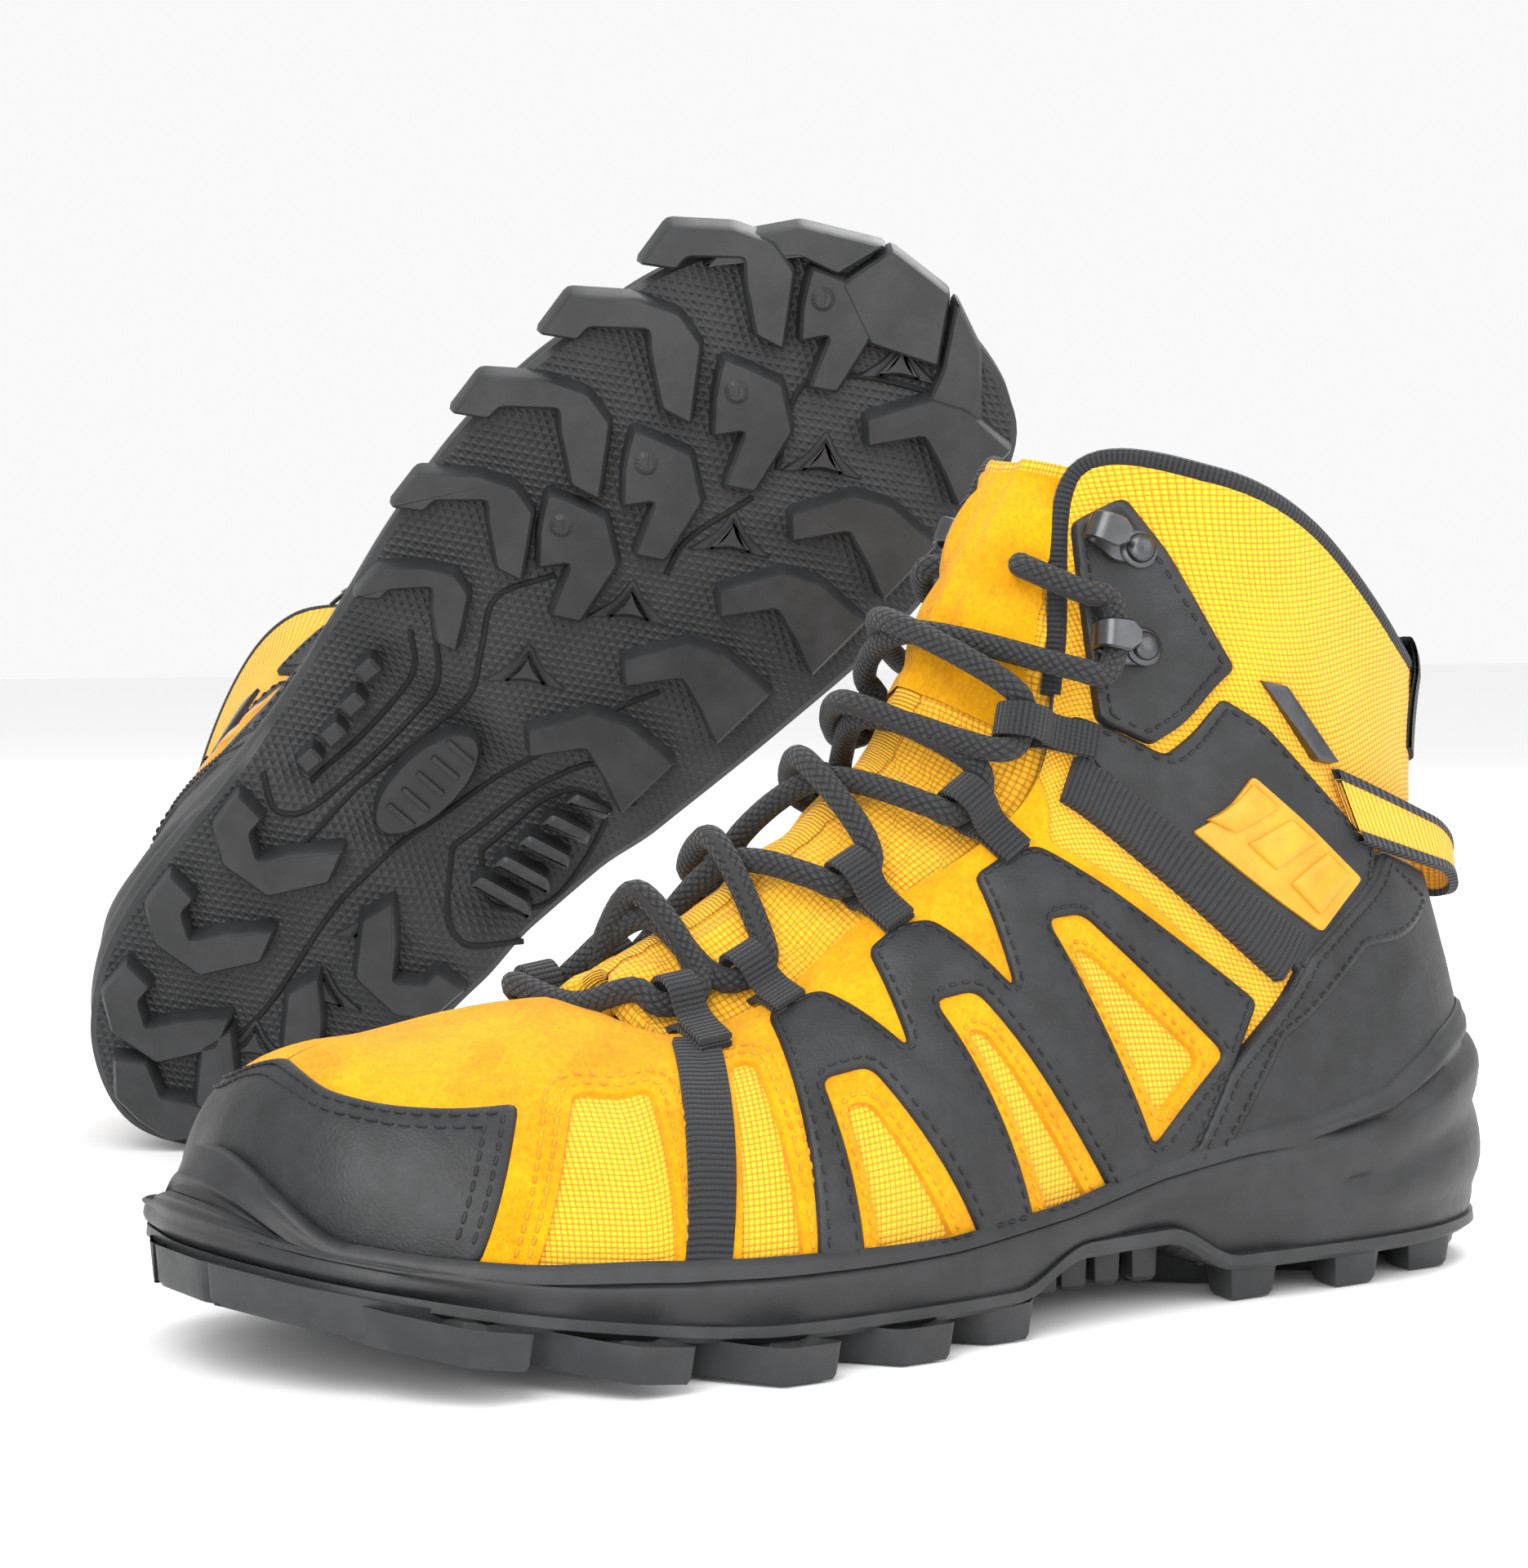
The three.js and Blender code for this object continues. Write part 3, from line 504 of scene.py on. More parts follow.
def stitch_run(heap, flat, panel, medial=False, pitch=3.0, length=2.1, raise_by=0.12):
    """Stitches along a flat line on a panel."""
    marks = resampled(flat, pitch / 2)
    if len(marks) < 3:
        return
    heights = panel.height(marks) if panel else np.full(len(marks), 0.2)
    station, up = roll(marks)
    if medial:
        station = RING - station
    up = np.clip(up, 0, 1)
    spots = lifted(station, up, heights + raise_by)
    outs = normal(station, up)
    for i in range(0, len(marks) - 1, 2):
        a, b = spots[i], spots[i + 1]
        along = b - a
        size = np.linalg.norm(along)
        if size < 0.3 or size > 2.5 * pitch:
            continue
        along /= size
        middle, out = (a + b) / 2, outs[i]
        across = np.cross(out, along)
        half = length / 2
        rows = [(-half, 0.25, -0.35), (-half * 0.7, 0.85, -0.05), (0, 1.0, 0.08),
                (half * 0.7, 0.85, -0.05), (half, 0.25, -0.35)]
        points = []
        for shift, wide, high in rows:
            centre = middle + along * shift + out * high
            for angle in range(6):
                c, s = math.cos(angle * math.pi / 3), math.sin(angle * math.pi / 3)
                points.append(centre + STITCH * wide * (across * c + out * s))
        heap.add(points, grid_faces(5, 6, closed=True))


def inset_lines(loop, loops, distance):
    """The pieces of an inset loop that keep their distance from every edge."""
    moved = inset_loop(loop, distance)
    good = edge_distance(moved, loops) > abs(distance) * 0.93
    if good.all():
        return [np.vstack([moved, moved[:1]])]
    start = int(np.argmin(good))
    order = [(start + k) % len(moved) for k in range(len(moved) + 1)]
    lines, run = [], []
    for k in order:
        if good[k]:
            run.append(moved[k])
        elif run:
            lines.append(np.array(run))
            run = []
    if run:
        lines.append(np.array(run))
    return [line for line in lines if len(line) > 3]


def stitch_panel(heap, panel, distance, sides=(False, True), skip=None, **more):
    for index, loop in enumerate(panel.loops):
        turn = 1 if index == 0 else -1
        for line in inset_lines(loop, panel.loops, turn * distance):
            if skip is not None:
                keep = ~skip(line)
                changes = np.where(np.diff(keep.astype(int)))[0] + 1
                chunks = np.split(line, changes)
                flags = np.split(keep, changes)
                lines = [c for c, f in zip(chunks, flags) if f[0] and len(c) > 2]
            else:
                lines = [line]
            for part in lines:
                for medial in sides:
                    stitch_run(heap, part, panel, medial, **more)


# ---- materials ----
class Nodes:
    """A material's node tree, with short calls for the maths."""
    def __init__(self, name, color, roughness, metallic=0.0, sheen=0.0, specular=0.5):
        self.material = bpy.data.materials.new(name)
        self.material.use_nodes = True
        self.tree = self.material.node_tree
        self.shader = self.tree.nodes["Principled BSDF"]
        self.shader.inputs["Base Color"].default_value = (*color, 1)
        self.shader.inputs["Roughness"].default_value = roughness
        self.shader.inputs["Metallic"].default_value = metallic
        self.shader.inputs["Sheen Weight"].default_value = sheen
        self.shader.inputs["Specular IOR Level"].default_value = specular

    def link(self, source, target):
        self.tree.links.new(source, target)

    def add(self, kind, **settings):
        node = self.tree.nodes.new(kind)
        for key, value in settings.items():
            setattr(node, key, value)
        return node

    def math(self, operation, a, b=None):
        node = self.add("ShaderNodeMath", operation=operation)
        for socket, value in zip(node.inputs, (a, b)):
            if value is None:
                continue
            if isinstance(value, (int, float)):
                socket.default_value = value
            else:
                self.link(value, socket)
        return node.outputs[0]

    def uv(self):
        split = self.add("ShaderNodeSeparateXYZ")
        self.link(self.add("ShaderNodeUVMap", uv_map="UVMap").outputs[0], split.inputs[0])
        return split.outputs[0], split.outputs[1]

    def place(self):
        return self.add("ShaderNodeAttribute", attribute_name="place").outputs["Vector"]

    def noise(self, scale, detail=3.0, roughness=0.6):
        node = self.add("ShaderNodeTexNoise")
        node.inputs["Scale"].default_value = scale
        node.inputs["Detail"].default_value = detail
        node.inputs["Roughness"].default_value = roughness
        self.link(self.place(), node.inputs["Vector"])
        return node.outputs["Fac"]

    def cells(self, scale):
        node = self.add("ShaderNodeTexVoronoi", feature="DISTANCE_TO_EDGE")
        node.inputs["Scale"].default_value = scale
        self.link(self.place(), node.inputs["Vector"])
        return node.outputs["Distance"]

    def ramp(self, value, stops):
        node = self.add("ShaderNodeValToRGB")
        while len(node.color_ramp.elements) < len(stops):
            node.color_ramp.elements.new(0.5)
        for element, (position, color) in zip(node.color_ramp.elements, stops):
            element.position = position
            element.color = (*color, 1)
        self.link(value, node.inputs[0])
        return node.outputs[0]

    def color(self, output):
        self.link(output, self.shader.inputs["Base Color"])

    def roughness(self, value, low, high):
        node = self.add("ShaderNodeMapRange")
        node.inputs["To Min"].default_value = low
        node.inputs["To Max"].default_value = high
        self.link(value, node.inputs["Value"])
        self.link(node.outputs[0], self.shader.inputs["Roughness"])

    def bump(self, height, distance, strength=1.0):
        node = self.add("ShaderNodeBump")
        node.inputs["Distance"].default_value = distance * MM
        node.inputs["Strength"].default_value = strength
        self.link(height, node.inputs["Height"])
        if self.shader.inputs["Normal"].links:
            self.link(self.shader.inputs["Normal"].links[0].from_socket, node.inputs["Normal"])
        self.link(node.outputs[0], self.shader.inputs["Normal"])


def waves(n, value, period):
    """0 at every period of a value, 1 half-way between."""
    return n.math("ABSOLUTE", n.math("SINE", n.math("MULTIPLY", value, math.pi / period)))


def weave_height(n, pitch):
    """The height of a plain weave: warp and weft threads take turns on top."""
    x, y = (n.math("DIVIDE", value, pitch) for value in n.uv())
    checker = n.math("MODULO", n.math("ADD", n.math("FLOOR", x), n.math("FLOOR", y)), 2.0)
    checker = n.math("ABSOLUTE", checker)
    across_x, across_y = waves(n, x, 1), waves(n, y, 1)
    threads = []
    for own, other in ((across_x, across_y), (across_y, across_x)):
        crown = n.math("ADD", 0.45, n.math("MULTIPLY", other, 0.55))
        threads.append(n.math("MULTIPLY", n.math("POWER", own, 0.5), crown))
    warp = n.math("MULTIPLY", threads[0], checker)
    return n.math("ADD", warp, n.math("MULTIPLY", threads[1], n.math("SUBTRACT", 1.0, checker)))


def woven(name, dark, light, pitch, depth, roughness=0.85, sheen=0.15):
    n = Nodes(name, light, roughness, sheen=sheen, specular=0.25)
    weave = weave_height(n, pitch)
    patches = n.math("MULTIPLY", n.noise(0.04, 3), 0.35)
    fibres = n.math("MULTIPLY", n.noise(1.5, 2), 0.25)
    wear = n.math("SUBTRACT", n.math("ADD", patches, fibres), 0.28)
    tone = n.math("ADD", n.math("MULTIPLY", weave, 0.75), wear)
    n.color(n.ramp(tone, [(0.1, dark), (0.6, light)]))
    n.bump(n.math("ADD", weave, n.math("MULTIPLY", fibres, 0.5)), depth)
    return n.material


def suede(name, dark, light):
    n = Nodes(name, light, 0.95, sheen=0.08, specular=0.1)
    nap = n.noise(0.9, 6, 0.75)
    patches = n.noise(0.07, 4)
    tone = n.math("ADD", n.math("MULTIPLY", nap, 0.55), n.math("MULTIPLY", patches, 0.5))
    n.color(n.ramp(tone, [(0.38, dark), (0.62, light)]))
    n.bump(nap, 0.5, 0.9)
    n.bump(n.noise(0.18, 3), 0.6, 0.5)
    return n.material


def leather(name, dark, light, roughness, grain=0.9, depth=0.12):
    n = Nodes(name, light, roughness, specular=0.4)
    pores = n.cells(grain)
    soft = n.noise(0.12, 5)
    n.color(n.ramp(soft, [(0.35, dark), (0.7, light)]))
    n.roughness(n.noise(0.5, 4), roughness - 0.08, roughness + 0.1)
    n.bump(n.math("MINIMUM", pores, 0.25), depth)
    n.bump(n.noise(0.35, 4), 0.15, 0.5)
    return n.material


def rubber(name, color, worn, roughness, hatch=0.0):
    n = Nodes(name, color, roughness, specular=0.45)
    dust = n.noise(0.06, 6, 0.7)
    n.color(n.ramp(dust, [(0.42, color), (0.75, worn)]))
    n.roughness(n.noise(0.3, 5), roughness - 0.07, roughness + 0.12)
    if hatch:
        split = n.add("ShaderNodeSeparateXYZ")
        n.link(n.place(), split.inputs[0])
        slope = n.math("MULTIPLY", split.outputs[1], 0.6)
        rate = 2 * math.pi / hatch
        ridges = [n.math("SINE", n.math("MULTIPLY", n.math(operation, split.outputs[0], slope), rate))
                  for operation in ("ADD", "SUBTRACT")]
        n.bump(n.math("MAXIMUM", *ridges), 0.16, 0.8)
    n.bump(n.noise(1.6, 3), 0.05, 0.6)
    return n.material


def ribbed(name, dark, light, rib, roughness=0.8):
    """Grosgrain and webbing: fine ribs across the band, threads along it."""
    n = Nodes(name, light, roughness, sheen=0.1, specular=0.3)
    u, v = n.uv()
    ribs = waves(n, v, rib)
    threads = waves(n, u, 0.8)
    tone = n.math("ADD", n.math("MULTIPLY", ribs, 0.7), n.math("MULTIPLY", n.noise(1.2, 3), 0.4))
    n.color(n.ramp(tone, [(0.15, dark), (0.8, light)]))
    n.bump(n.math("ADD", ribs, n.math("MULTIPLY", threads, 0.35)), 0.35)
    return n.material


def braided(name, dark, light, repeat=16):
    """Round braid: two sets of threads spiralling against each other."""
    n = Nodes(name, light, 0.7, sheen=0.1, specular=0.35)
    a, run = n.uv()
    turn = n.math("MULTIPLY", a, repeat / 2)
    step = n.math("DIVIDE", run, 2.0)
    one = waves(n, n.math("ADD", turn, step), 1)
    two = waves(n, n.math("SUBTRACT", turn, step), 1)
    height = n.math("MULTIPLY", n.math("POWER", one, 0.6), n.math("POWER", two, 0.6))
    n.color(n.ramp(height, [(0.1, dark), (0.9, light)]))
    n.bump(height, 0.5)
    return n.material


def metal(name, color, roughness):
    n = Nodes(name, color, roughness, metallic=0.9)
    n.roughness(n.noise(0.8, 5), roughness - 0.08, roughness + 0.12)
    n.color(n.ramp(n.noise(0.25, 4), [(0.3, tuple(c * 0.7 for c in color)), (0.75, color)]))
    n.bump(n.noise(2.5, 2), 0.02)
    return n.material


YELLOW_TEXTILE = woven("yellow_textile", (0.56, 0.20, 0.003), (0.93, 0.47, 0.022), 1.15, 0.35)
YELLOW_SUEDE = suede("yellow_suede", (0.55, 0.22, 0.002), (0.80, 0.37, 0.004))
YELLOW_GLOSS = leather("yellow_gloss", (0.50, 0.23, 0.008), (0.64, 0.31, 0.014), 0.3, 1.4, 0.05)
YELLOW_GROSGRAIN = ribbed("yellow_grosgrain", (0.55, 0.21, 0.004), (0.93, 0.48, 0.025), 0.9)
YELLOW_THREAD = leather("yellow_thread", (0.50, 0.18, 0.004), (0.80, 0.36, 0.01), 0.7, 3.0, 0.05)
BLACK_LEATHER = leather("black_synthetic", (0.009, 0.0095, 0.010), (0.019, 0.020, 0.022), 0.5)
BLACK_THREAD = leather("black_thread", (0.006, 0.006, 0.007), (0.020, 0.021, 0.023), 0.6, 3.0, 0.05)
BLACK_WEBBING = ribbed("black_webbing", (0.004, 0.004, 0.005), (0.022, 0.023, 0.025), 1.1)
BLACK_LINING = woven("black_lining", (0.006, 0.006, 0.007), (0.026, 0.027, 0.030), 1.4, 0.3)
LACE_BRAID = braided("lace_cord", (0.003, 0.003, 0.004), (0.024, 0.025, 0.027))
RAND_RUBBER = rubber("rand_rubber", (0.012, 0.0125, 0.0135), (0.024, 0.025, 0.027), 0.46)
TREAD_RUBBER = rubber("tread_rubber", (0.015, 0.016, 0.017), (0.030, 0.031, 0.033), 0.44)
TREAD_FLOOR = rubber("tread_floor", (0.012, 0.013, 0.014), (0.024, 0.025, 0.027), 0.5, hatch=2.2)
# Near-black rubber for the tread's grooves: painted shade, darker than the floor's own rubber, standing in
# for the shade inside the grooves.
GROOVE_SHADE = rubber("tread_groove_painted_shade", (0.003, 0.003, 0.003), (0.006, 0.006, 0.006), 0.8)
GUNMETAL = metal("gunmetal", (0.10, 0.102, 0.108), 0.3)
STEEL = metal("spring_steel", (0.45, 0.46, 0.48), 0.35)


# ---- the shell of the upper ----
def even_stations(count):
    """Stations evenly spaced along the boot, all the way round."""
    half = np.interp(np.linspace(0, BACK_X, count // 2 + 1), SIDE_X, SIDE_STATIONS)
    return np.r_[half, RING - half[-2:0:-1]]


def collar_puff(station, up):
    """How far the padded ankle stands proud of the shell."""
    folded = np.minimum(np.mod(station, RING), RING - np.mod(station, RING))
    return 1.6 * smooth(folded, 9.6, 11.4) * smooth(up, 0.6, 0.76) * (1 - 0.5 * smooth(up, 0.93, 1.0))


def upper_shell():
    stations = even_stations(220)
    ups = np.linspace(0.0, 1.0, 42)
    s, u = np.meshgrid(stations, ups)
    outer = lifted(s, u, collar_puff(s, u) - 0.25)
    flat = unroll(np.where(s > HEEL, RING - s, s), u)
    boot_piece("upper", outer.reshape(-1, 3), grid_faces(len(ups), len(stations), closed=True),
               YELLOW_TEXTILE, uvs=flat.reshape(-1, 2), replaces=["upper"])
    inner_ups = np.linspace(1.0, 0.08, 30)
    s, u = np.meshgrid(stations, inner_ups)
    inner = lifted(s, u, -UPPER_WALL)
    edge = np.ones(len(stations))
    rim = lifted(stations, edge, collar_puff(stations, edge) - 0.25)
    points = np.concatenate([rim[None], inner])
    boot_piece("lining", points.reshape(-1, 3), grid_faces(len(points), len(stations), closed=True),
               BLACK_LINING, uvs=grid_uvs(points).reshape(-1, 2))


# Windows of textile in the suede, and the holes of the cage round them.
WINDOW_1 = [(3.72, 0.56), (4.52, 0.63), (4.55, 0.06), (3.05, 0.06)]
WINDOW_2 = [(5.42, 0.76), (5.62, 0.74), (5.84, 0.05), (5.3, 0.05)]
CAGE_A = [(6.15, 0.56), (6.55, 0.53), (7.27, 0.03), (6.35, 0.03)]
CAGE_B = [(7.2, 0.61), (7.5, 0.59), (8.5, 0.03), (7.75, 0.02)]
CAGE_C = [(8.3, 0.67), (8.75, 0.64), (9.97, 0.25), (8.95, 0.12)]
WINDOW_A = [(6.3, 0.46), (6.5, 0.44), (7.08, 0.03), (6.5, 0.03)]
WINDOW_B = [(7.38, 0.51), (7.5, 0.49), (8.28, 0.03), (7.9, 0.03)]
WINDOW_C = [(8.5, 0.58), (8.68, 0.56), (9.66, 0.26), (9.05, 0.18)]


def suede_panels():
    ridge = [(s, 1) for s in np.arange(0.4, 9, 0.4)]
    outline = [(0.02, 1), *ridge, (9.05, 1), (8.95, 0.9), (8.75, 0.84), (9.7, 0.56), (10.3, 0.36), (10, 0.2),
               (9.3, 0.04), (8, 0.02), (6, 0.03), (4, 0.04), (2.4, 0.05), (2.75, 0.3), (3.0, 0.48),
               (1.8, 0.5), (0.95, 0.57), (0.02, 0.72)]
    windows = [WINDOW_1, WINDOW_2, WINDOW_A, WINDOW_B, WINDOW_C]
    panel = Panel(outline, windows, thickness=1.1, edge=0.9, corner=2.5)
    heights = panel.height(panel.flat)
    station, up = roll(panel.flat)
    seamless = (station < 3.95) & (up > 0.9) | (station < 0.12)
    heights = np.where(seamless, panel.lift + panel.thickness, heights)
    heap = Heap()
    up = np.where(up > 0.975, 1.0, np.clip(up, 0, 1))
    for medial in (False, True):
        around = RING - station if medial else station
        heap.add(lifted(around, up, heights), panel.polys(medial), panel.flat)
    heap.piece("suede_vamp", YELLOW_SUEDE, sharp=60)
    stitches = Heap()
    for distance in (2.2, 4.4):
        for hole in panel.loops[1:3]:
            for line in inset_lines(hole, panel.loops, -distance):
                for medial in (False, True):
                    stitch_run(stitches, line, panel, medial, pitch=2.6, length=1.8)
    for hole in panel.loops[3:]:
        for line in inset_lines(hole, panel.loops, -1.8):
            for medial in (False, True):
                stitch_run(stitches, line, panel, medial, pitch=2.4, length=1.6)
    stitches.piece("suede_stitches", YELLOW_THREAD)


TOE_CAP_SIDE = [(0.95, 0.66), (1.8, 0.585), (2.65, 0.56), (3.28, 0.56), (2.95, 0.35), (2.48, 0.05),
                (1.5, 0.04), (0.7, 0.1)]


def low_on_toe(line):
    """Where a line runs along the bottom of the toe cap, which has no stitches."""
    station, up = roll(line)
    return up < np.interp(np.abs(station), [0, 2.5], [0.45, 0.1])


def toe_cap():
    outline = [(0, 0.8), *TOE_CAP_SIDE, (0, 0.3), *[(-s, u) for s, u in reversed(TOE_CAP_SIDE)]]
    panel = Panel(outline, thickness=1.9, edge=1.4, corner=4, spacing=4.5)
    boot_piece("toe_cap", panel.points(), panel.faces, BLACK_LEATHER, uvs=panel.flat,
               replaces=["toe_cap"], sharp=50)
    stitches = Heap()
    for distance in (2.4, 5.0):
        stitch_panel(stitches, panel, distance, sides=(False,), skip=low_on_toe, pitch=3.4, length=2.4)
    stitches.piece("toe_cap_stitches", BLACK_THREAD)


def cage_crown(flat, d):
    """The cage's strips rise towards their middles."""
    return 0.7 * smooth(d, 1.6, 4.2)


def cage():
    outline = [(5.95, 0.03), (5.86, 0.9), (6.05, 0.93), (6.4, 0.85), (6.9, 0.53), (6.86, 0.86), (7.15, 0.88),
               (7.38, 0.84), (7.8, 0.56), (7.8, 0.9), (8.2, 0.9), (8.55, 0.86), (10.55, 0.3), (9.35, 0.04),
               (8.5, 0.03)]
    panel = Panel(outline, [CAGE_A, CAGE_B, CAGE_C], thickness=1.7, edge=1.6, lift=0.9, corner=2.5,
                  spacing=3.2, relief=cage_crown)
    for name, medial in (("lateral_cage", False), ("medial_cage", True)):
        heap = Heap()
        heap.add(panel.points(medial), panel.polys(medial), panel.flat)
        heap.piece(name, BLACK_LEATHER, replaces=[name], sharp=50)
    stitches = Heap()
    stitch_panel(stitches, panel, 1.9, pitch=2.9, length=2.1)
    stitches.piece("cage_stitches", BLACK_THREAD)


HOOK_PLATE = [(10.72, 0.985), (11.35, 0.955), (11.6, 0.88), (11.88, 0.74), (10.5, 0.69), (10.05, 0.84)]
ANKLE_BAND = [(9.78, 0.93), (10.6, 0.66), (11.6, 0.69), (12.0, 0.67), (13.05, 0.53), (12.3, 0.38),
              (11.2, 0.3), (11.0, 0.36), (9.66, 0.84)]
EMBLEM = [(10.48, 0.565), (11.55, 0.585), (12.55, 0.465), (11.62, 0.365)]


def ankle_panels():
    plate = Panel(HOOK_PLATE, thickness=1.5, edge=1.3, lift=1.4, corner=2, spacing=3.6)
    both_sides(plate).piece("hook_plates", BLACK_LEATHER, sharp=50)
    band = Panel(ANKLE_BAND, thickness=1.4, edge=1.3, lift=0.3, corner=2, spacing=3.6)
    both_sides(band).piece("ankle_bands", BLACK_LEATHER, sharp=50)

    emblem = Panel(EMBLEM, thickness=0.9, edge=0.7, lift=1.6, corner=1.5, spacing=3.0)
    heap = both_sides(emblem)
    low_start, high_start, high_end, low_end = np.array(EMBLEM)
    for i in range(3):
        corners = []
        for along, across in ((0.1, 0.12), (0.83, 0.12), (0.83, 0.88), (0.1, 0.88)):
            share = 0.04 + (i + along) / 3 * 0.94
            corners.append((low_start + (low_end - low_start) * share) * (1 - across)
                           + (high_start + (high_end - high_start) * share) * across)
        field = Panel(corners, thickness=1.0, edge=1.5, lift=2.4, corner=0.8, spacing=2.5)
        add_both(heap, field)
    heap.piece("emblem_panels", YELLOW_GLOSS, sharp=60)
    stitches = Heap()
    stitch_panel(stitches, plate, 2.2, pitch=2.9, length=2.1)
    stitch_panel(stitches, band, 2.0, pitch=2.9, length=2.1)
    stitches.piece("ankle_stitches", BLACK_THREAD)


def heel_counter():
    side = [(9.35, 0.04), (9.9, 0.2), (11.35, 0.34), (13.1, 0.535), (13.9, 0.54)]
    other_side = [(RING - s, u) for s, u in reversed(side)]
    outline = [*side, (15, 0.56), *other_side, (19, 0.03), (15, 0.1), (11, 0.03)]
    panel = Panel(outline, thickness=1.8, edge=1.6, lift=0.5, corner=3, spacing=4.5)
    boot_piece("heel_counter", panel.points(), panel.faces, BLACK_LEATHER, uvs=panel.flat,
               replaces=["heel_counter"], sharp=50)
    band = [(9.3, 0.05), (9.95, 0.215), (11.35, 0.335), (13.1, 0.525), (13.7, 0.47), (12.2, 0.35),
            (10.75, 0.23), (9.75, 0.04)]
    rib = Panel(band, thickness=1.5, edge=2.2, lift=1.9, corner=1.5, spacing=3.4)
    both_sides(rib).piece("heel_bands", BLACK_LEATHER, sharp=60)
    stitches = Heap()
    stitch_panel(stitches, rib, 1.9, pitch=2.9, length=2.1)
    stitches.piece("heel_stitches", BLACK_THREAD)


# ---- straps, tag, heel loop and pull tab ----
def band_between(low, high, width, lift, thickness, name, material, replaces=()):
    """A flat band with its middle from low to high, both [station, up], on both sides of the boot."""
    a, b = unroll(*low), unroll(*high)
    line = b - a
    line /= np.linalg.norm(line)
    across = np.array([-line[1], line[0]]) * width / 2
    outline = np.array([a - across, b - across, b + across, a + across])
    station, up = roll(outline)
    panel = Panel(list(zip(station, up)), thickness=thickness, edge=0.6, lift=lift, corner=0.8, spacing=3.0)
    local = np.stack([(panel.flat - a) @ np.array([line[1], -line[0]]), (panel.flat - a) @ line], -1)
    heap = Heap()
    add_both(heap, panel, local)
    heap.piece(name, material, replaces=replaces)


def straps():
    names = ["lateral", "medial"]
    band_between((4.93, 0.04), (5.2, 0.93), 9.5, 1.3, 1.1, "forefoot_straps", BLACK_WEBBING,
                 replaces=[f"{side}_strap_loop_1" for side in names])
    band_between((11.15, 0.33), (9.35, 0.89), 13.5, 1.5, 1.1, "ankle_straps", BLACK_WEBBING,
                 replaces=[f"{side}_strap_loop_5" for side in names])


def tag():
    outline = [(12.1, 0.735), (12.45, 0.745), (12.88, 0.655), (12.55, 0.64)]
    panel = Panel(outline, thickness=1.0, edge=0.7, lift=1.5, corner=0.8, spacing=2.0)
    heap = Heap()
    heap.add(panel.points(), panel.faces, panel.flat)
    heap.piece("tag", GUNMETAL, sharp=50)


def heel_loop():
    start, end = 12.75, 17.25
    stations = np.linspace(start, end, 60)
    bow = 1.4 + 7.5 * np.sin(np.pi * (stations - start) / (end - start)) ** 2
    bands = [("heel_loop", YELLOW_GROSGRAIN, 0.545, 0.625, 0),
             ("heel_loop_edges", BLACK_WEBBING, None, None, 0.25)]
    for name, material, low, high, proud in bands:
        heap = Heap()
        ranges = [(low, high)] if low else [(0.53, 0.547), (0.623, 0.64)]
        for bottom, top in ranges:
            ups = np.linspace(bottom, top, 7)
            s, u = np.meshgrid(stations, ups)
            b = np.broadcast_to(bow, s.shape)
            outer = lifted(s, u, b + 1.6 + proud)
            inner = lifted(s, u, b - proud * 0.5)[::-1]
            section = np.concatenate([outer, inner])
            uvs = np.stack([u, s], -1) * [90, 14]
            heap.add(section.transpose(1, 0, 2), grid_faces(len(stations), len(section), closed=True),
                     np.concatenate([uvs, uvs[::-1]]).transpose(1, 0, 2))
        heap.piece(name, material, replaces=["heel_loop"] if low else ())


def pull_tab():
    stations = np.linspace(14.45, 15.55, 9)
    ups = np.linspace(0.84, 1.0, 8)
    s, u = np.meshgrid(stations, ups)
    outer = lifted(s, u, np.full(s.shape, 2.4))
    top = outer[-1]
    arch = [top + np.array([2.6 * (1 - math.cos(a)), 0, 7.5 * math.sin(a)])
            for a in np.linspace(0.3, math.pi / 2, 5)]
    back = [row + np.array([5.0, 0, 0]) for row in (arch[-1], top)]
    rows = np.concatenate([outer, np.array(arch), np.array(back) + [0, 0, -0.5]])
    thick = rows.copy()
    thick[:, :, 0] += 1.2
    section = np.concatenate([rows, thick[::-1]])
    across = np.repeat(np.arange(len(stations)), len(section))
    along = np.tile(np.arange(len(section)), len(stations))
    boot_piece("pull_tab", section.transpose(1, 0, 2).reshape(-1, 3),
               grid_faces(len(stations), len(section), closed=True), BLACK_WEBBING, replaces=["pull_tab"],
               uvs=np.stack([across * 1.3, along * 2.4], -1))


def collar():
    """The padded inside of the collar and the piping on its edge."""
    stations = np.linspace(9.7, RING - 9.7, 140)
    ups = np.linspace(1.0, 0.45, 22)
    s, u = np.meshgrid(stations, ups)
    ends = smooth(stations, 9.7, 11.2) * smooth(RING - stations, 9.7, 11.2)
    crown = np.sin(np.linspace(0.12, 1, 22) * math.pi)[:, None] ** 0.6
    quilting = 1 - 0.35 * np.exp(-((u - 0.72) / 0.012) ** 2)
    points = lifted(s, u, -UPPER_WALL - 0.5 - 5.6 * crown * ends * quilting)
    pads = boot_piece("collar_pad", points.reshape(-1, 3), [f[::-1] for f in grid_faces(22, 140)],
                      BLACK_LINING, uvs=grid_uvs(points).reshape(-1, 2), replaces=["collar_pad"])
    rim = surface(stations, np.ones(140))
    rise = rim - surface(stations, np.full(140, 0.95))
    rise /= np.linalg.norm(rise, axis=1, keepdims=True)
    path = rim - normal(stations, np.ones(140)) * 1.2 + rise * 0.9
    points, faces, uvs = tube(path, 2.1, 12)
    boot_piece("collar_piping", points, faces, BLACK_WEBBING, uvs=uvs * [8, 1], replaces=["collar_piping"])


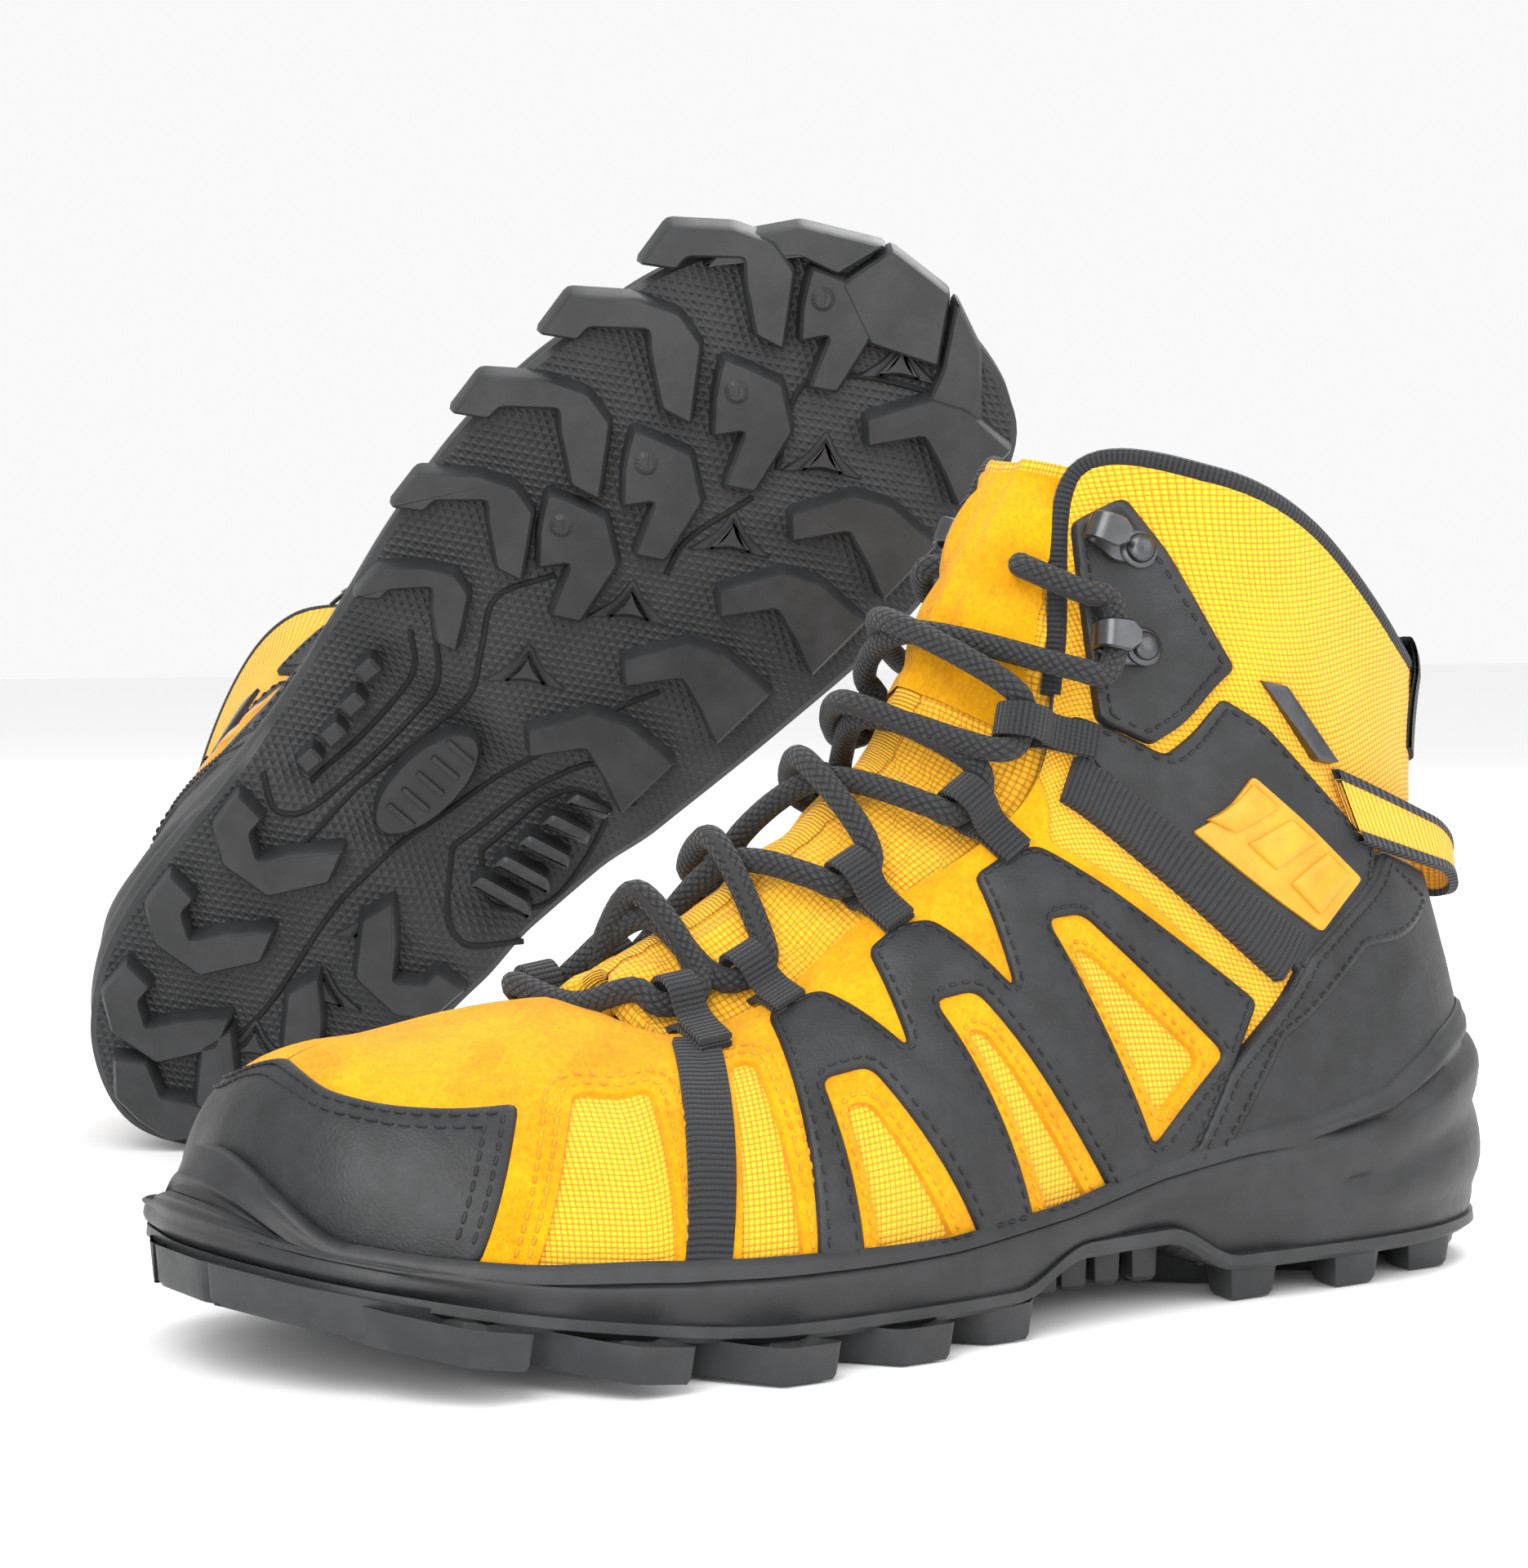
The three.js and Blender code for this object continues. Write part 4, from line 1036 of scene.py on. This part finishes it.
def footbed():
    stations = even_stations(120)
    rim = lifted(stations, np.full(120, 0.16), -8.6)
    rim[:, 2] = lifted(stations, np.full(120, 0.06), -3.0)[:, 2] + 6.6
    middle = rim.mean(0)
    rim_x, rim_z = zip(*sorted(zip(rim[:, 0], rim[:, 2])))
    rows = []
    for share in np.linspace(1, 0.03, 12):
        row = middle + (rim - middle) * [share, share, 0]
        edge_roll = 0.8 if share < 1 else 0
        row[:, 2] = np.interp(row[:, 0], rim_x, rim_z) - 1.5 * (1 - share) + edge_roll
        rows.append(row)
    under = rim - [0, 0, 3.5]
    points = np.concatenate([under[None], np.array(rows)])
    boot_piece("footbed", points.reshape(-1, 3), grid_faces(len(points), 120, closed=True), BLACK_LINING,
               replaces=["footbed"])


# ---- tongue ----
def tongue_middle(station):
    t = np.asarray(station, float) - 5
    index = np.arange(len(TONGUE_MIDDLE))
    x = np.interp(t, index, TONGUE_MIDDLE[:, 0]) + np.minimum(t, 0) * 18
    z = np.interp(t, index, TONGUE_MIDDLE[:, 1]) + np.minimum(t, 0) * 6
    return np.stack([x, 0 * x, z], -1)


def edge_frame(station, up=1.0):
    """The edge of the throat and its unit directions: across to the middle, up along it, outwards."""
    edge = surface(station, up)
    out = normal(station, up)
    along = surface(station + 0.05, up) - surface(station - 0.05, up)
    along = along - out * along.dot(out)
    along /= np.linalg.norm(along)
    if along[0] > 0:
        along = -along
    across = np.cross(out, along)
    if across[1] * edge[1] > 0:
        across = -across
    return edge, across, along, out


TONGUE_ROWS, TONGUE_COLUMNS = 90, 41
TONGUE_HALF = TONGUE_COLUMNS // 2


def tongue_up(station):
    """The direction out of the tongue's middle line."""
    rise = tongue_middle(station + 0.3) - tongue_middle(station - 0.3)
    rise /= np.linalg.norm(rise)
    return np.array([rise[2], 0, -rise[0]])


def tongue_row(s):
    """One row across the tongue, from wing to wing, over the edges of the throat."""
    middle, up = tongue_middle(s), tongue_up(s)
    near = min(s, 10.6)
    anchors = []
    for station in (near, RING - near):
        edge, across, along, out = edge_frame(station)
        follow = middle - tongue_middle(near)
        anchors.append([edge - across * 5 - out * 4.6 + follow, edge + across * 3 - out * 3.6 + follow])
    (wing_a, low_a), (wing_b, low_b) = anchors
    shoulder_a, shoulder_b = (low * 0.36 + middle * 0.64 + up * 1.6 for low in (low_a, low_b))
    curve = spline([wing_a, low_a, shoulder_a, middle + up * 0.9, shoulder_b, low_b, wing_b], 8)
    even = resampled(curve, 1)
    return even[np.linspace(0, len(even) - 1, TONGUE_COLUMNS).round().astype(int)]


def tongue_surface():
    """The quilted top of the tongue, and the direction out of it at each point."""
    points = np.array([tongue_row(s) for s in np.linspace(4.6, 11.0, TONGUE_ROWS)])
    out = np.cross(np.gradient(points, axis=1), np.gradient(points, axis=0))
    out /= np.linalg.norm(out, axis=-1, keepdims=True)
    if out[TONGUE_ROWS // 2, TONGUE_HALF, 2] < 0:
        out = -out
    wide = np.abs(np.linspace(-1, 1, TONGUE_COLUMNS))[None, :]
    puff = np.abs(np.sin(distances(points[:, TONGUE_HALF]) / 21 * math.pi))[:, None] ** 0.55
    quilt = 2.2 * puff * (1 - smooth(wide, 0.75, 0.95)) * smooth(wide, 0.1, 0.22)
    thickness = 5.0 * (1 - smooth(wide, 0.8, 1.0) * 0.6) * np.ones((TONGUE_ROWS, 1))
    return points + out * quilt[..., None], out, thickness


def tongue():
    """The padded tongue, from under the vamp to its free top, with its strip and its suede patch."""
    points, out, thickness = tongue_surface()
    flat = grid_uvs(points)
    under = points - out * thickness[..., None]
    section = np.concatenate([points, under[:, ::-1]], axis=1)
    section_uvs = np.concatenate([flat, flat[:, ::-1]], axis=1)
    strip = (slice(0, 67), slice(18, 23))
    patch = (slice(66, 89), slice(6, 35))
    pieces = [
        ("tongue", section, capped_faces(TONGUE_ROWS, 2 * TONGUE_COLUMNS), YELLOW_TEXTILE, section_uvs,
         ["tongue", "tongue_top"]),
        ("tongue_strip", points[strip] + out[strip] * 0.5, grid_faces(67, 5), YELLOW_GROSGRAIN, flat[strip],
         []),
        ("tongue_patch", points[patch] + out[patch] * 0.9, grid_faces(23, 29), YELLOW_SUEDE, flat[patch], []),
    ]
    for name, verts, faces, material, uvs, nodes in pieces:
        made = make(name, verts.reshape(-1, 3), faces, material, uvs=uvs.reshape(-1, 2), replaces=nodes,
                    sharp=60)
        for side, piece in made.items():
            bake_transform(piece)


# ---- lacing ----
def at(frame_here, a, b, c):
    edge, across, along, out = frame_here
    return edge + across * a + along * b + out * c


def side_station(side, station):
    return station if side > 0 else RING - station


def through_loop(side, level):
    here = edge_frame(side_station(side, LOOP_STATIONS[level]))
    end = LOOP_WIDTH / 2 + 0.6
    turn = end + 2.6
    across, out = LOOP_EYE_ACROSS, LOOP_EYE_OUT
    return [at(here, across + 4, -turn, out + 2), at(here, across + 0.4, -end, out),
            at(here, across + 0.4, end, out), at(here, across + 4, turn, out + 2)]


HOOK_LIFT = 3.1


def round_hook(side):
    station, up = HOOK_PLACES[0]
    here = edge_frame(side_station(side, station), up)
    out = HOOK_LIFT + 4.4
    return [at(here, 5, -7.7, out), at(here, -1, -7.7, out), at(here, -3.2, 0, out),
            at(here, -1, 7.7, out), at(here, 4, 7.7, out + 0.5)]


def over_tongue(station, is_upper):
    height = LACE_RADIUS + 2.8 + (2 * LACE_RADIUS + 0.6 if is_upper else 0)
    return tongue_middle(station) + tongue_up(station) * height


def strand(side):
    points, here = [], side
    for level in range(5):
        points += through_loop(here, level)
        following = LOOP_STATIONS[level + 1] if level < 4 else HOOK_PLACES[0][0]
        is_upper = (side > 0) == (level % 2 == 0)
        points.append(over_tongue((LOOP_STATIONS[level] + following) / 2, is_upper))
        here = -here
    points += round_hook(here)
    y = 12 * here
    into_collar = ((122.5, 17 * here, 145.5), (117.5, y, 145), (108, y, 139.5), (99, y, 133))
    return points + [np.array(p, float) for p in into_collar]


def lace():
    bar = over_tongue(4.9, False) + [4.5, 0, -1.5]
    path = resampled(spline([*strand(1)[::-1], bar, *strand(-1)], 8), 1.6)
    points, faces, uvs = tube(path, LACE_RADIUS * 0.98, 12)
    boot_piece("lace", points, faces, LACE_BRAID, uvs=uvs, replaces=["lace"])


def side_steps(line, step):
    """A step to the left at each point of a flat line."""
    tangent = np.gradient(line, axis=0)
    tangent /= np.linalg.norm(tangent, axis=1, keepdims=True)
    return np.stack([-tangent[:, 1], tangent[:, 0]], -1) * step


STRAP_NUMBERS = (1, 5)


def webbing_loop(here, tail):
    """Webbing from its tail on the eyestay, round the lace and back over itself."""
    radius = LOOP_EYE_HOLE + 0.6
    turns = np.linspace(math.radians(-140), math.radians(130), 15)
    fold = [(LOOP_EYE_ACROSS + radius * math.cos(a), LOOP_EYE_OUT + radius * math.sin(a)) for a in turns]
    neck = LOOP_EYE_ACROSS - 6.0
    line = spline([(tail, 2.0), (neck, 2.2), *fold, (neck, 4.6), (tail, 3.6)], 4)
    wide = LOOP_WIDTH / 2
    near = wide - 0.3
    rows = []
    for p, o in zip(line, side_steps(line, 0.55)):
        ring = [(p + o, -near), (p + o * 0.9, -wide), (p - o * 0.9, -wide), (p - o, -near),
                (p - o, near), (p - o * 0.9, wide), (p + o * 0.9, wide), (p + o, near)]
        rows.append([at(here, q[0], w, q[1]) for q, w in ring])
    uvs = np.stack(np.meshgrid([0.3, 0, 0, 0.3, 6, 6.3, 6.3, 6], distances(line)), -1)
    return np.array(rows), capped_faces(len(rows), 8), uvs


def webbing_loops():
    """Webbing folded round the lace, with its two layers sewn down on the eyestay."""
    for side, side_name in SIDES:
        for number, station in enumerate(LOOP_STATIONS, 1):
            is_strap = number in STRAP_NUMBERS
            here = edge_frame(side_station(side, station))
            name = f"{side_name}_{'strap_top' if is_strap else 'lace_loop'}_{number}"
            heap = Heap()
            heap.add(*webbing_loop(here, -9.0 if is_strap else -7.0))
            heap.piece(name, BLACK_WEBBING, replaces=() if is_strap else [name])


HOOK_LINE = [(-14.5, 0.9), (1.0, 0.9), (1.0, 8.0), (-6.5, 8.0)]
HOOK_WIDTHS = ([0, 0.06, 0.3, 0.48, 0.62, 0.93, 1], [1.5, 3.3, 4.2, 2.6, 2.7, 3.2, 1.6])
RIVET_DOME = [(3.9, 1.2), (3.9, 1.9), (3.4, 2.3), (3.0, 2.35), (2.9, 2.9), (2.3, 3.5),
              (1.2, 3.8), (0.05, 3.9)]


def hook_strip(here):
    """The sheet metal of a hook, from its riveted foot round to its open end."""
    line = resampled(rounded(HOOK_LINE, 3.2, closed=False, steps=7), 0.9)
    width = np.interp(np.linspace(0, 1, len(line)), *HOOK_WIDTHS)
    rows = []
    for p, o, w in zip(line, side_steps(line, 0.5), width):
        near = w - 0.4
        ring = [(p + o, -near), (p, -w), (p - o, -near), (p - o, 0),
                (p - o, near), (p, w), (p + o, near), (p + o, 0)]
        rows.append([at(here, q[0], v, q[1] + HOOK_LIFT) for q, v in ring])
    return np.array(rows), capped_faces(len(rows), 8)


def rivet(here):
    turns = np.linspace(0, 2 * math.pi, 24, endpoint=False)
    rings = [[at(here, -10.5 + r * math.cos(a), r * math.sin(a), HOOK_LIFT + h) for a in turns]
             for r, h in RIVET_DOME]
    return np.array(rings), grid_faces(len(RIVET_DOME), len(turns), closed=True)


def hooks():
    """Hooks pressed from sheet metal, each with a domed rivet."""
    for side, side_name in SIDES:
        for number, (station, up) in enumerate(HOOK_PLACES, 1):
            here = edge_frame(side_station(side, station), up)
            name = f"{side_name}_lace_hook_{number}"
            heap = Heap()
            heap.add(*hook_strip(here))
            heap.add(*rivet(here))
            heap.piece(name, GUNMETAL, replaces=[name], sharp=40)


# ---- sole ----
SOLE_COLUMNS = 300


def toe_bumper(stations):
    """1 at the toe tip, fading to 0 along the sides."""
    return 1 - smooth(np.minimum(stations, RING - stations), 0.6, 4.8)


def sole_ring(stations, margin, height, arch=0.0):
    p = surface(stations, np.zeros(len(stations)))
    out = normal(stations, np.full(len(stations), 0.03))
    out[:, 2] = 0
    out /= np.linalg.norm(out, axis=1, keepdims=True)
    p = p + out * (margin + TOE_BUMPER * toe_bumper(stations))[:, None]
    p[:, 2] = ground_rise(p[:, 0]) + height + arch * arch_rise(p[:, 0])
    return p


def rubber_up(stations):
    """How far up the side the rubber reaches, with a rounded crest over the toe tip."""
    folded = np.minimum(stations, RING - stations)
    side = np.interp(folded, np.arange(HEEL + 1), RUBBER_UP)
    crest = 0.087 + 0.25 * (1 - smooth(folded, 0.1, 1.3))
    return np.where(folded < 1.3, crest, side)


def bezier_rows(a, b, c, count):
    t = np.linspace(0, 1, count)[:, None, None]
    return (1 - t) ** 2 * a + 2 * t * (1 - t) * b + t * t * c


def rand_relief(stations, levels):
    """The moulding of the rubber side: heel flutes, toe ribs, the arch and a groove along it."""
    folded = np.minimum(stations, RING - stations)[None]
    heelward = smooth(folded, 10.2, 11.6)
    line_groove = 0.9 * np.exp(-((levels - 0.62) / 0.035) ** 2) * (1 - heelward)
    flutes = np.abs(np.sin((levels * 3.1 - folded * 0.11) * math.pi)) ** 0.6
    ribs = 2.4 * heelward * (flutes - 0.5) * smooth(levels, 0.12, 0.3) * (1 - smooth(levels, 0.85, 0.97))
    toe_ribs = (1.3 * (1 - smooth(folded, 1.6, 2.8)) * np.abs(np.sin(levels * math.pi * 6)) ** 0.5
                * (1 - smooth(levels, 0.75, 0.9)))
    arch = (-1.6 * smooth(folded, 8.2, 8.9) * (1 - smooth(folded, 10.4, 11.0))
            * (1 - smooth(levels, 0.25, 0.55)))
    return ribs + toe_ribs + arch - line_groove - 0.6


def rand():
    """The moulded rubber side, from the outsole up to its lip on the upper."""
    stations = even_stations(SOLE_COLUMNS)
    bottom = LUG_DEPTH + OUTSOLE_BASE
    foot = sole_ring(stations, 4.6, bottom, 1)
    bumper = toe_bumper(stations)
    belly = sole_ring(stations, 6.6, bottom + 6, 0.4)
    belly[:, 2] += 3 * bumper
    share = rubber_up(stations)
    wall = lifted(stations, 0.55 * share, 5.2)
    wall = wall + (belly - wall) * [1, 1, 0] * (0.4 * bumper)[:, None]
    lip = lifted(stations, share, 3.9 + 1.8 * bumper)
    inner = lifted(stations, share, 0.4)
    rows = np.concatenate([bezier_rows(foot, belly, wall, 14),
                           bezier_rows(wall, 0.5 * (wall + lip), lip, 10)[1:]])
    levels = np.linspace(0, 1, len(rows))[:, None]
    out = normal(stations, np.full(SOLE_COLUMNS, 0.05))[None]
    rows = rows + out * rand_relief(stations, levels)[..., None]
    top = lip + (inner - lip) * 0.45 + [0, 0, 1.1]
    rows = np.concatenate([rows, top[None], inner[None]])
    boot_piece("midsole", rows.reshape(-1, 3), grid_faces(len(rows), SOLE_COLUMNS, closed=True), RAND_RUBBER,
               uvs=grid_uvs(rows).reshape(-1, 2), replaces=["midsole"], sharp=50)


EDGE_LUG = [(0, 0), (12, 1), (22, -12), (26, -22), (24, -31), (8, -42), (6, -34), (14, -23), (18, -19),
            (9, -8), (5, -8)]
EDGE_LUG_PLACES = [(248, 52, 0.95), (220, 59, 1.0), (192, 62, 0.97), (165, 57.5, 0.85), (142, 49.5, 0.66)]
INNER_LUG = [(0, 0), (14, -9), (18, -18), (18, -33), (-1, -32), (3, -23), (6, -14), (-5, -5)]
HEEL_LUG = [(0, 0), (1, 9), (-10, 8), (-16, 0), (-15, -14), (-2, -23), (7, -20), (-2, -11), (-9, -6), (-5, 0)]
HOOK_BLOCK = [(4, 8), (6, 3), (9, -7), (2, -17), (-15, -20), (-19, -13), (-6, -8), (-12, -3), (-5, 3), (0, 6)]
STAR = [(5.5, 0), (1.2, 1.6), (-2.6, 4.9), (-1.6, 0), (-2.6, -4.9), (1.2, -1.6)]


def moved(outline, x, y, reach=1.0, flip=1, turn=0.0):
    p = np.array(outline, float) * [reach ** 0.5, reach * flip]
    c, s = math.cos(math.radians(turn)), math.sin(math.radians(turn))
    return p @ np.array([[c, s], [-s, c]]) + [x, y]


def prism(heap, outline, top=0.0, bottom=LUG_DEPTH + 0.6, flare=0.9, chamfer=0.7, corner=1.0):
    """A moulded block of the tread, wider at its root, with its edges broken."""
    loop = closed_steps(rounded(outline, corner, steps=2), 4.0)
    if signed_area(loop) < 0:
        loop = loop[::-1]
    rings = []
    for inset, height in ((-flare, bottom), (0, top + 1.0), (chamfer, top)):
        flat = inset_loop(loop, inset)
        z = ground_rise(flat[:, 0]) + height
        if height == bottom:
            z = z + arch_rise(flat[:, 0])
        rings.append(np.column_stack([flat, z]))
    count = len(loop)
    points = np.concatenate(rings)
    faces = [f[::-1] for f in grid_faces(3, count, closed=True)]
    edges = [(i, (i + 1) % count) for i in range(count)]
    cap = delaunay_2d_cdt([Vector(p[:2]) for p in rings[-1]], edges, [], 1, 1e-6)
    if len(cap[0]) == count:
        for f in cap[2]:
            face = tuple(2 * count + i for i in f)
            faces.append(face[::-1] if flat_cross(*(np.array(cap[0][i]) for i in f)) > 0 else face)
    else:
        faces.append(tuple(range(2 * count, 3 * count))[::-1])
    heap.add(points, faces)


def floor_height(x):
    """Height of the tread's floor between the lugs."""
    return ground_rise(x) + LUG_DEPTH + arch_rise(x)


def ellipse(x, y, long, wide, slant, count):
    return [(x + long * math.cos(a) - slant * math.sin(a), y + wide * math.sin(a))
            for a in np.linspace(0, 2 * math.pi, count, endpoint=False)]


TOE_SEGMENTS = [[(264, 40), (274, 39), (287, 28.5), (297, 9.5), (284, 14), (281, 24)],
                [(297.5, 8), (299, -10), (284, -19.5), (277, -3), (283, 12)],
                [(299, -12), (294, -25), (279, -39), (273.5, -24), (284, -21)]]
HEEL_BRIDGE = [(12, -16), (4, -9), (3, 0), (4, 9), (12, 16), (17, 9), (12, 0), (17, -9)]
# Lines of the tread's grooves, drawn as near-black strips of painted shade.
GROOVE_SHADE_LINES = [[(178, 16), (164, 23), (152, 17), (140, 11), (103, 15), (82, 17)],
                [(173, -23), (163, -18), (142, -12), (114, -6), (84, 0), (45, -5), (30, -4)],
                [(150, 31), (138, 19), (128, 17), (92, 21), (87, 27), (92, 36)],
                [(144, 33), (136, 25), (116, 23), (97, 25)],
                [(107, -13), (147, -22), (151, -30), (147, -38)],
                [(107, -13), (93, -24), (91, -31), (100, -43)],
                [(111, -19), (140, -24.5), (141, -34), (112, -41), (102, -30), (111, -19)],
                [(272, -24), (262, -6), (252, 2), (233, -7)],
                [(224, -7), (205, -2), (196, -4)]]


def lugs(heap):
    """The lugs of the tread: along the edges, across the middle, and the three segments at the toe."""
    for x, y, reach in EDGE_LUG_PLACES:
        prism(heap, moved(EDGE_LUG, x, y, reach))
    for x, y in ((257, -14), (228, -15.5), (202.5, -15), (174, -9.5), (145, -4)):
        prism(heap, moved(INNER_LUG, x, y))
    for x, y in ((85, 29), (58, 28), (33, 21)):
        prism(heap, moved(HEEL_LUG, x, y))
        prism(heap, moved(HEEL_LUG, x - 2, -y, flip=-1))
    prism(heap, HEEL_BRIDGE)
    for x, y in ((271, 13), (241, 14), (214, 19), (189, 24)):
        prism(heap, moved(HOOK_BLOCK, x, y, 0.9 if x > 260 else 1.0), top=1.2, chamfer=0.8)
        prism(heap, ellipse(x, y, 3.1, 3.1, 0, 14), top=0.3, bottom=1.6, flare=0.2, chamfer=1.2, corner=0.2)
    for outline in TOE_SEGMENTS:
        prism(heap, moved(outline, -6.5, 0), top=0.9, bottom=LUG_DEPTH + 2, flare=0.6)


def tread_inserts():
    """The stars, the oval and the small ribs set low between the lugs."""
    heap = Heap()
    for x, y in ((271, -13), (242, -14), (213, -10), (184, -3), (155, 5), (80, -11), (58, -13), (36, -9)):
        prism(heap, moved(STAR, x, y, 1.25, turn=35), top=LUG_DEPTH - 2.4, flare=0.6, chamfer=0.9, corner=1.4)
        prism(heap, moved(STAR, x, y, 2.3, turn=35), top=LUG_DEPTH - 0.8, flare=0.3, chamfer=0.5, corner=2.2)
    prism(heap, ellipse(117, 4, 17, 8, 1.5, 20), top=LUG_DEPTH - 1.0, flare=0.5, chamfer=0.6)
    for i in range(5):
        x = 106 + 5.5 * i
        prism(heap, [(x, -0.5), (x + 1.8, -0.7), (x + 1.8, 8), (x, 8)],
              top=LUG_DEPTH - 1.9, flare=0.2, chamfer=0.3, corner=0.5)
    for x, y in ((129, 34), (120, 31), (111, 29.5), (102, 29.5)):
        prism(heap, [(x - 3, y - 2), (x + 3, y - 2.6), (x + 3.6, y + 2), (x - 2, y + 2.6)],
              top=LUG_DEPTH - 1.8, flare=0.4, chamfer=0.9)
    for i in range(5):
        x = 104 + 8 * i
        prism(heap, [(x, -21.5 - i * 0.8), (x + 4, -22 - i * 0.8), (x + 6.5, -35), (x + 3.5, -39 + i)],
              top=LUG_DEPTH - 1.9, flare=0.4, chamfer=1.1)
    heap.piece("tread_inserts", TREAD_RUBBER, sharp=30)


# Near-black strips along the groove lines, standing a little proud of the floor: painted shade in place of
# the grooves' recess.
def painted_groove_shade():
    heap = Heap()
    for line in GROOVE_SHADE_LINES:
        path = resampled(spline(line, 6), 1.5)
        heap.add(*tube(np.column_stack([path, floor_height(path[:, 0]) + 0.25]), 0.85, 8))
    heap.piece("painted_groove_shade", GROOVE_SHADE)


def tread():
    """The outsole: its side and its floor, the lugs, what is set between them, and strips of painted groove
    shade.
    """
    stations = even_stations(SOLE_COLUMNS)
    low = sole_ring(stations, 3.6, LUG_DEPTH, 1)
    mid = sole_ring(stations, 5.2, LUG_DEPTH + 1.2, 1)
    high = sole_ring(stations, 5.0, LUG_DEPTH + OUTSOLE_BASE + 0.2, 1)
    back = sole_ring(stations, 2.0, LUG_DEPTH + OUTSOLE_BASE + 0.4, 1)
    side = Heap()
    side.add(np.array([low, mid, high, back]), grid_faces(4, SOLE_COLUMNS, closed=True))
    flat, faces = triangulated([low[:, :2]], 5.0, ())
    if flat_cross(*flat[list(faces[0])]) > 0:
        faces = [f[::-1] for f in faces]
    boot_piece("outsole_floor", np.column_stack([flat, floor_height(flat[:, 0])]), faces, TREAD_FLOOR)
    lugs(side)
    side.piece("outsole", TREAD_RUBBER, replaces=["outsole"], sharp=28)
    tread_inserts()
    painted_groove_shade()


def carried_nodes():
    """The shank stays as it was cut, in spring steel."""
    for side in BOOTS:
        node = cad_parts[f"{side}_shank"]
        node.data.materials.clear()
        node.data.materials.append(STEEL)


# ---- stage ----
def camera():
    data = bpy.data.cameras.new("camera")
    data.lens = CAMERA_LENS
    data.sensor_width = 36
    data.clip_end = 20
    view = bpy.data.objects.new("camera", data)
    view.location = CAMERA_PLACE
    view.rotation_euler = Vector(CAMERA_FORWARD).to_track_quat("-Z", "Y").to_euler()
    bpy.context.scene.collection.objects.link(view)
    bpy.context.scene.camera = view


def floor_and_light():
    bm = bmesh.new()
    bmesh.ops.create_grid(bm, x_segments=2, y_segments=2, size=6)
    mesh = bpy.data.meshes.new("floor")
    bm.to_mesh(mesh)
    bm.free()
    white = Nodes("floor_white", (0.93, 0.93, 0.935), 0.8, specular=0.2)
    white.bump(white.noise(0.5, 2), 0.01)
    mesh.materials.append(white.material)
    floor = bpy.data.objects.new("floor", mesh)
    floor.location.z = -0.0005
    bpy.context.scene.collection.objects.link(floor)
    world = bpy.data.worlds.new("studio")
    world.use_nodes = True
    world.node_tree.nodes["Background"].inputs[0].default_value = (1, 1, 1, 1)
    world.node_tree.nodes["Background"].inputs[1].default_value = 0.95
    bpy.context.scene.world = world
    lamps = [("key", (-1.1, -0.9, 1.4), 1.2, 26), ("rim", (0.9, 0.6, 1.3), 1.0, 18),
             ("fill", (0.4, -1.5, 0.8), 1.4, 12), ("sole_fill", (-1.3, -1.3, 0.35), 0.9, 14)]
    for name, place, size, power in lamps:
        lamp = bpy.data.lights.new(name, "AREA")
        lamp.size = size
        lamp.energy = power
        light = bpy.data.objects.new(name, lamp)
        light.location = place
        light.rotation_euler = (Vector((-0.1, 0.1, 0.1)) - Vector(place)).to_track_quat("-Z", "Y").to_euler()
        bpy.context.scene.collection.objects.link(light)
    bpy.context.scene.view_settings.view_transform = "Standard"


camera()
floor_and_light()
upper_shell()
suede_panels()
toe_cap()
cage()
ankle_panels()
heel_counter()
straps()
tag()
heel_loop()
pull_tab()
collar()
footbed()
tongue()
lace()
webbing_loops()
hooks()
rand()
tread()
carried_nodes()
